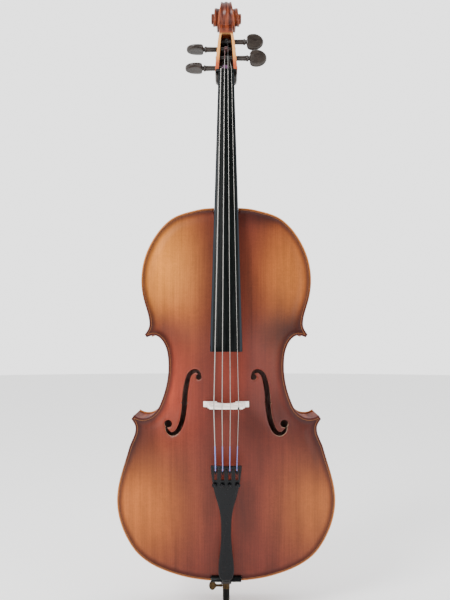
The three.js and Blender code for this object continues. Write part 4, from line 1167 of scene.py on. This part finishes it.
# Geometry Nodes: a round cord along a path, and ridges round a knob
def newTree(name, inputs):
    tree = bpy.data.node_groups.new(name, "GeometryNodeTree")
    tree.interface.new_socket("Geometry", in_out="INPUT", socket_type="NodeSocketGeometry")
    for label, kind, value in inputs:
        socket = tree.interface.new_socket(label, in_out="INPUT", socket_type=kind)
        if value is not None:
            socket.default_value = value
    tree.interface.new_socket("Geometry", in_out="OUTPUT", socket_type="NodeSocketGeometry")
    return tree, tree.nodes.new("NodeGroupInput"), tree.nodes.new("NodeGroupOutput")


def endTree(tree, inside, outside, geometry):
    real = addNode(tree, "GeometryNodeRealizeInstances", {0: geometry})
    paint = addNode(tree, "GeometryNodeSetMaterial", {"Geometry": real.outputs[0],
        "Material": inside.outputs["Material"]})
    tree.links.new(paint.outputs[0], outside.inputs[0])
    return tree


def buildCordTree():
    tree, inside, outside = newTree("cordAlongPath", [("Radius", "NodeSocketFloat", 0.001),
        ("Sides", "NodeSocketInt", 10), ("Material", "NodeSocketMaterial", None)])
    line = addNode(tree, "GeometryNodeMeshToCurve", {0: inside.outputs["Geometry"]})
    section = addNode(tree, "GeometryNodeCurvePrimitiveCircle", {"Resolution": inside.outputs["Sides"],
        "Radius": inside.outputs["Radius"]})
    skin = addNode(tree, "GeometryNodeCurveToMesh", {"Curve": line.outputs[0],
        "Profile Curve": section.outputs[0], "Fill Caps": True})
    smooth = addNode(tree, "GeometryNodeSetShadeSmooth", {0: skin.outputs[0]})
    return endTree(tree, inside, outside, smooth.outputs[0])


def buildKnurlTree():
    # ridges of rectangular bar stand round a knob about its +Z axis
    tree, inside, outside = newTree("knurlRidges", [
        ("Knob Radius", "NodeSocketFloat", 0.004), ("Ridge Count", "NodeSocketInt", 24),
        ("Ridge Width", "NodeSocketFloat", 0.0005),
        ("Ridge Height", "NodeSocketFloat", 0.004), ("Base Height", "NodeSocketFloat", 0.004),
        ("Material", "NodeSocketMaterial", None)])
    ring = addNode(tree, "GeometryNodeCurvePrimitiveCircle", {"Resolution": inside.outputs["Ridge Count"],
        "Radius": inside.outputs["Knob Radius"]})
    places = addNode(tree, "GeometryNodeCurveToPoints", {"Curve": ring.outputs[0],
        "Count": inside.outputs["Ridge Count"]})
    size = addNode(tree, "ShaderNodeCombineXYZ", {0: inside.outputs["Ridge Width"],
        1: inside.outputs["Ridge Width"], 2: inside.outputs["Ridge Height"]})
    bar = addNode(tree, "GeometryNodeMeshCube", {"Size": size.outputs[0]})
    copies = addNode(tree, "GeometryNodeInstanceOnPoints", {"Points": places.outputs[0],
        "Instance": bar.outputs[0], "Rotation": places.outputs["Rotation"]})
    lift = addNode(tree, "ShaderNodeCombineXYZ", {2: inside.outputs["Base Height"]})
    raised = addNode(tree, "GeometryNodeTransform", {"Geometry": copies.outputs[0],
        "Translation": lift.outputs[0]})
    both = addNode(tree, "GeometryNodeJoinGeometry")
    tree.links.new(inside.outputs["Geometry"], both.inputs[0])
    tree.links.new(raised.outputs[0], both.inputs[0])
    return endTree(tree, inside, outside, both.outputs[0])


cordTree = buildCordTree()
knurlTree = buildKnurlTree()


def runTree(name, mesh, tree, values):
    obj = addObject(name, mesh)
    modifier = obj.modifiers.new("build", "NODES")
    modifier.node_group = tree
    sockets = {item.name: item.identifier for item in tree.interface.items_tree if item.item_type == "SOCKET"
        and item.in_out == "INPUT"}
    for label, value in values.items():
        modifier[sockets[label]] = value
    return applied(obj)


def makeCord(name, path, radius, material, sides=10):
    mesh = newMesh(name + "_path", path, [], [(i, i + 1) for i in range(len(path) - 1)])
    obj = runTree(name, mesh, cordTree, {"Radius": radius * metres, "Sides": sides, "Material": material})
    finishMesh(obj, 50)
    return obj


# strings: from the peg over the nut and the bridge to the tailpiece
tail = {
    "top": 308, "front": -142, "slope": 0.2269, "radius": 60, "skin": 4.5,
    "stations": [[70, 5], [72, 9.5], [76, 12.6], [83, 14.8], [94, 15.4], [108, 14.7], [130, 12.2],
                 [155, 10.3], [178, 10],
                 [200, 10.7], [222, 14.2], [246, 20.8], [271, 26.4], [296, 29.6], [306, 30.2], [308, 29]],
    "slotTop": 301, "slotEnd": 279, "slotWide": 5.6, "hole": 1.9, "screwZ": 270,
}
tuners = {
    "each": [("c", -20.7, -23.3), ("g", -6.9, -7.6), ("d", 6.9, 7.6), ("a", 20.7, 23.3)],
    "pivotZ": 294.7, "pivotDeep": 7, "leverWide": 3.6, "prong": 0.85, "leverLow": 264, "leverKnee": 292.4,
    "leverHigh": 297,
    "knobRadius": 3.9, "ridges": 26, "ridgeWide": 0.42, "ridgeHigh": 4.0, "ridgeMiddle": 4.0,
}
stringSet = {
    "nutSpread": 7.2, "bridgeSpread": 15.6, "gap": 0.3, "silkFrom": 348,
    "turns": 5, "steps": 24, "coilRadius": 5.0, "coilGap": 0.35, "sleeveHalf": 2.6,
    "ball": [[0, -2.4], [1.6, -2.4], [2.2, -1.8], [2.2, 1.8], [1.6, 2.4], [0, 2.4]],
    "each": [
        {"name": "c", "place": -1.5, "radius": 0.85, "tail": -20.7, "winding": -6, "silk": silkPurple},
        {"name": "g", "place": -0.5, "radius": 0.65, "tail": -6.9, "winding": -3, "silk": silkRed},
        {"name": "d", "place": 0.5, "radius": 0.5, "tail": 6.9, "winding": 3.5, "silk": silkDark},
        {"name": "a", "place": 1.5, "radius": 0.4, "tail": 20.7, "winding": 6, "lift": 1.3, "silk": silkDark},
    ],
}


def tailFront(z):
    return tail["front"] + tail["slope"] * (tail["top"] - z)


def tailFace(x, z):
    return tailFront(z) + x * x / (2 * tail["radius"])


def tailHalf(z):
    heights, halves = zip(*tail["stations"])
    return float(np.interp(z, heights, halves))


def tailUnder(z):
    return tailFront(z) + tailHalf(z) ** 2 / (2 * tail["radius"]) + tail["skin"]


def stringRoute(string, peg):
    clear = string["radius"] + stringSet["gap"]
    nutX = string["place"] * stringSet["nutSpread"]
    nutY = nut["front"] + nutX * nutX / (2 * board["radius"]) - clear
    bridgeX = string["place"] * stringSet["bridgeSpread"]
    bridgeY = crownFront(bridgeX) - clear - 0.1 - string.get("lift", 0)
    x = string["tail"]
    return [[string["winding"], peg["y"] - 5.5 - clear - 0.3, peg["z"]], [nutX, nutY, nut["z"] + 5.2],
        [nutX, nutY, nut["z"] - 1], [bridgeX, bridgeY, bridgeZ + 2.2], [bridgeX, bridgeY, bridgeZ - 2.2],
        [x, tailFace(x, 309) - clear - 0.4, 309], [x, tailFace(x, 298) - clear - 0.2, 298]]


def pointBetween(a, b, z):
    a, b = np.array(a), np.array(b)
    return a + (b - a) * (z - a[2]) / (b[2] - a[2])


def makeWinding(string, peg):
    # turns round the peg, from the string's place outwards
    name, radius, steps = string["name"], string["radius"], stringSet["steps"]
    pitch = 2 * radius + stringSet["coilGap"]
    coilRadius = stringSet["coilRadius"] + radius + stringSet["coilGap"]
    way = 1 if string["winding"] < 0 else -1
    coil = []
    for i in range(stringSet["turns"] * steps + 1):
        angle = 2 * math.pi * i / steps
        coil.append([string["winding"] + way * pitch * i / steps, peg["y"] - coilRadius * math.cos(angle),
            peg["z"] + coilRadius * math.sin(angle)])
    winding = makeCord(f"string_{name}_winding", coil, radius, string["silk"], 8)
    claim(winding, name + "_peg", "string_steel")


def makeStrings():
    for string, peg in zip(stringSet["each"], pegs["each"]):
        name, radius = string["name"], string["radius"]
        route = stringRoute(string, peg)
        top, nutTop, nutLow, overTop, overLow, tailTop, tailLow = route
        silkStart = pointBetween(overLow, tailTop, stringSet["silkFrom"])
        silkNut = pointBetween(nutTop, top, nutTop[2] + 0.45 * (top[2] - nutTop[2]))
        steel = makeCord(f"string_{name}_steel", [silkNut, nutTop, nutLow, overTop, overLow, silkStart],
            radius, stringSteel, 12)
        claim(steel, "instrument", "string_steel", "string_" + name)
        upper = makeCord(f"string_{name}_peg_silk", [top, silkNut], radius + 0.12, string["silk"])
        claim(upper, "instrument", "string_steel")
        lower = makeCord(f"string_{name}_tail_silk", [silkStart, tailTop, tailLow], radius + 0.3, silkBlue)
        claim(lower, "instrument", "string_steel")
        makeWinding(string, peg)
        ball = turned(stringSet["ball"], 24)
        end = makePiece(f"string_{name}_ball_end", *moved(ball, alongX(1),
            tailLow + np.array([0, 1.2, -1.4])), blackMetal)
        claim(end, "instrument", "string_steel")


def makeSleeve():
    thin = stringSet["each"][3]
    x, y, _ = stringRoute(thin, pegs["each"][3])[3]
    hole, skin, half = thin["radius"] + 0.3, thin["radius"] + 1.0, stringSet["sleeveHalf"]
    sleeve = turned([[hole, -half], [skin - 0.25, -half], [skin, 0.25 - half], [skin, half - 0.25],
        [skin - 0.25, half], [hole, half], [hole, -half]], 32)
    piece = makePiece("string_sleeve_rubber", *moved(sleeve, np.eye(3), (x, y, bridgeZ)), rubber)
    claim(piece, "instrument", "rubber", "string_sleeve")


makeStrings()
makeSleeve()
print("strings wound")


# tailpiece, levers and screws
def makeTailpiece():
    side = curveThrough(tail["stations"], 4)
    half = np.stack([np.minimum(side[:, 1], 30.2), np.clip(side[:, 0], 70, 308)], 1)
    dip = [[x, 308 - 1.1 * (1 - (x / 29) ** 2)] for x in (22, 14, 7, 0, -7, -14, -22)]
    outline = np.vstack([half, dip, half[::-1] * [-1, 1]])
    cuts = [boxCut(x - tail["slotWide"] / 2, x + tail["slotWide"] / 2, tail["slotEnd"], tail["slotTop"])
        for _, x, _ in tuners["each"]]
    round18 = np.linspace(0, 2 * math.pi, 19)[:-1]
    for _, _, x in tuners["each"]:
        ring = [x + tail["hole"] * np.cos(round18), tail["screwZ"] - 0.8 + tail["hole"] * np.sin(round18)]
        cuts.append(np.stack(ring, 1))

    def place(flat, edge, slit, side):
        x, z = flat.T
        face = tailFace(x, z)
        halves = np.interp(z, *zip(*tail["stations"]))
        under = tailFront(z) + halves ** 2 / (2 * tail["radius"]) + tail["skin"]
        soft = rimDrop(edge, 2.6) * 0.9 + 0.5 * np.clip(1 - slit / 0.9, 0, 1)
        recess = 1.9 * smoothstep(z, 299, 303) * (1 - smoothstep(np.abs(x), 24, 28)) * smoothstep(edge, 2.0,
            5.0)
        return np.stack([x, under - rimDrop(edge, 0.8) if side else face + soft + recess, z], 1)

    piece = cutPlate("tailpiece_body", outline, cuts, 2.0, (0.3, 0.8, 1.6, 2.6), place, composite)
    claim(piece, "instrument", "composite", "tailpiece")


def onTailFace(part, x, lift=0.0):
    # a shape built about +Z, turned square to the tailpiece's face at the screws
    lean = math.atan(tail["slope"])
    points, faces = part
    points = np.asarray(points, float)
    out = np.array([0, -math.cos(lean), -math.sin(lean)])
    up = np.array([0, -math.sin(lean), math.cos(lean)])
    across = np.array([1.0, 0, 0])
    base = np.array([x, tailFace(x, tail["screwZ"]), tail["screwZ"]]) + out * lift
    placed = points[:, :1] * across + points[:, 1:2] * up + points[:, 2:] * out + base
    return placed, faces


def makeLever(name, x):
    # two prongs astride the string, joined at the top and at the heel
    low, knee, high = tuners["leverLow"], tuners["leverKnee"], tuners["leverHigh"]
    profile = [[tailFace(x, high) - 0.3, high - 0.6], [tailFace(x, high) + 0.4, high],
        [tailUnder(high) + 4, high], [tailUnder(low) + 4, low + 0.8], [tailUnder(low) + 3.2, low],
        [tailUnder(low) + 1, low], [tailUnder(knee) + 1, knee], [tailFace(x, knee) + 0.4, knee],
        [tailFace(x, knee) - 0.5, knee + 0.8]]
    wide = tuners["leverWide"] / 2
    prong = tuners["prong"]
    shells = [loft([[(x + a, y, z) for y, z in profile] for a in span]) for span in ((-wide, prong - wide),
        (wide - prong, wide))]
    gap = wide - prong + 0.05
    bridgeBack, heelBack = tailUnder(high) + 3.7, tailUnder(low) + 3.7
    head = tailFace(x, high) + 0.5
    for zLow, zHigh, front, deep in ((knee - 1.4, high - 0.4, head, bridgeBack),
            (low + 0.9, low + 6.5, heelBack - 2, heelBack)):
        shells.append(loft([[(x + a, front, zLow), (x + a, deep, zLow), (x + a, deep - 0.1, zHigh),
            (x + a, front - 0.1, zHigh)] for a in (-gap, gap)]))
    lever = makePiece(f"lever_{name}_metal", *merged(*shells), blackMetal)
    fixNormals(lever)
    claim(lever, name + "_tuner_lever", "tuner_metal", "tuner_lever_" + name)


def makeScrew(name, screwX):
    # a threaded shank through the tailpiece under a ridged knob
    lean = math.atan(tail["slope"])
    inside = (tailUnder(tail["screwZ"]) + 0.5 - tailFace(screwX, tail["screwZ"])) * math.cos(lean)
    r = tuners["knobRadius"]
    thread = []
    for i in range(int((inside + 1.2) / 0.25)):
        thread.append([1.5 if i % 2 else 1.25, -inside + 0.25 * i])
    knob = turned([[0, -inside], *thread, [1.5, 1.4], [r - 0.5, 1.4], [r, 1.9], [r, 6.1], [r - 0.35, 6.6],
        [r - 1.1, 6.95], [1.6, 6.95], [1.2, 6.6], [0, 6.6]], 48)
    ridged = runTree(f"screw_{name}_knurled", newMesh("knob", *knob), knurlTree, {
        "Knob Radius": r * metres, "Ridge Count": tuners["ridges"],
        "Ridge Width": tuners["ridgeWide"] * metres,
        "Ridge Height": tuners["ridgeHigh"] * metres, "Base Height": tuners["ridgeMiddle"] * metres,
        "Material": blackMetal})
    co = np.empty(len(ridged.data.vertices) * 3, np.float32)
    ridged.data.vertices.foreach_get("co", co)
    placed, _ = onTailFace((co.reshape(-1, 3) / metres, []), screwX)
    ridged.data.vertices.foreach_set("co", (placed * metres).astype(np.float32).ravel())
    ridged.data.update()
    finishMesh(ridged)
    fixNormals(ridged)
    claim(ridged, name + "_tuner_screw", "tuner_metal", "tuner_screw_" + name)


def makeTuners():
    pin = turned([[0, -29], [0.8, -29], [1, -28.8], [1, 28.8], [0.8, 29], [0, 29]], 24)
    pivotY = tailFront(tuners["pivotZ"]) + tuners["pivotDeep"]
    claim(makePiece("tuner_pivot", *moved(pin, alongX(1), (0, pivotY, tuners["pivotZ"])), blackMetal),
        "instrument", "tuner_metal", "tuner_pivot_rod")
    for name, x, screwX in tuners["each"]:
        makeLever(name, x)
        makeScrew(name, screwX)


def makeTailgut():
    half = [[7, tailUnder(76) - 2.2, 73], [7, tailUnder(76) + 0.5, 67], [7.5, saddle["front"] - 2.2, 65.5],
        [8.5, saddle["front"] - 1, 61], [9.5, -60, 58.6], [10.6, -30, 58.2], [11.2, -6, 58.2],
        [8.2, 8, 58.2]]
    route = half + [[0, 11.4, 58.2]] + [[-x, y, z] for x, y, z in half[::-1]]
    claim(makeCord("tailgut_cord", curveThrough(route, 8), 1.2, tailCord, 12), "instrument", "tail_cord",
        "tailgut")


makeTailpiece()
makeTuners()
makeTailgut()
print("tailpiece and tuners made")

# endpin
endpin = {"rod": 5, "rodTop": 480, "point": 2, "ferruleLow": 28.3, "ferruleHigh": 39.4, "clampZ": 34,
    "bore": 5.08}


def makeSocket():
    bore, high, low = endpin["bore"], endpin["ferruleHigh"], endpin["ferruleLow"]
    base = high + 0.3
    collar = turned([[bore, base], [9.6, base], [10.4, base + 0.3], [11.3, 41.6], [11.6, 42.4], [11.6, 50.2],
        [11.2, 51.1], [10.2, 51.8], [9.3, 53.2], [9, 54.6], [9, 62], [11.9, 65.5], [11.5, 99], [10.5, 100],
        [bore, 100], [bore, base]], 72)
    claim(makePiece("collar_wood", *collar, pegWood), "instrument", "peg_wood", "endpin_collar")
    ferrule = turned([[bore, low], [7.2, low], [7.8, low + 0.7], [7.8, low + 3], [7.35, low + 3.5],
        [7.35, low + 8], [7.8, low + 8.5], [7.8, high - 0.6], [7.2, high], [bore, high], [bore, low]], 64)
    claim(makePiece("ferrule_brass", *ferrule, darkBrass), "instrument", "dark_brass", "endpin_ferrule")


def makeClamp():
    stem = moved(turned([[0, 5.4], [1.6, 5.4], [2, 5.9], [2, 9], [2.8, 9], [3.2, 9.5], [3.2, 12],
        [2.8, 12.6], [2.8, 19], [2.4, 20.6], [0, 21]], 32), alongX(-1), (0, 0, endpin["clampZ"]))
    wing = [[0, 2.6, 1.5], [2, 4.6, 1.7], [5, 8.0, 1.6], [8.5, 9.9, 1.5], [12, 9.0, 1.6], [14.6, 6.2, 1.5],
        [16, 2.6, 1.1]]
    rings = []
    for along, half, thick in curveThrough(wing, 4):
        ring = []
        for angle in np.linspace(0, 2 * math.pi, 33)[:-1]:
            c, s = math.cos(angle), math.sin(angle)
            ring.append((-20 - along, thick * math.copysign(abs(s) ** 0.75, s),
                endpin["clampZ"] + half * math.copysign(abs(c) ** 0.9, c)))
        rings.append(ring)
    clamp = makePiece("clamp_brass", *merged(stem, loft(rings)), darkBrass)
    fixNormals(clamp)
    claim(clamp, "clamp", "dark_brass", "clamp_screw")


def makeRod():
    top, wide, tip = endpin["rodTop"], endpin["rod"], endpin["point"]
    rod = turned([[0, 0], [1.2, 0], [tip, 0.9], [tip, 8], [wide, 12], [wide, top - 1], [wide - 1, top],
        [0, top]], 48)
    claim(makePiece("rod_steel", *rod, rodSteel), "endpin", "rod_steel", "endpin_rod")
    grips = []
    for z in np.arange(8.0, 23.0, 2.6):
        grips += [[7.15, z], [6.75, z + 0.35], [6.75, z + 1.0], [7.2, z + 1.35]]
    foot = turned([[2.3, 2], [5.4, 2], [6.2, 2.7], [7.0, 5], *grips, [7.2, 26.4], [6.6, 28], [5.3, 28],
        [5.3, 11.8], [2.3, 7.6], [2.3, 2]], 56)
    claim(makePiece("foot_rubber", *foot, rubber), "endpin", "rubber", "rubber_foot")


makeSocket()
makeClamp()
makeRod()
print("endpin made")
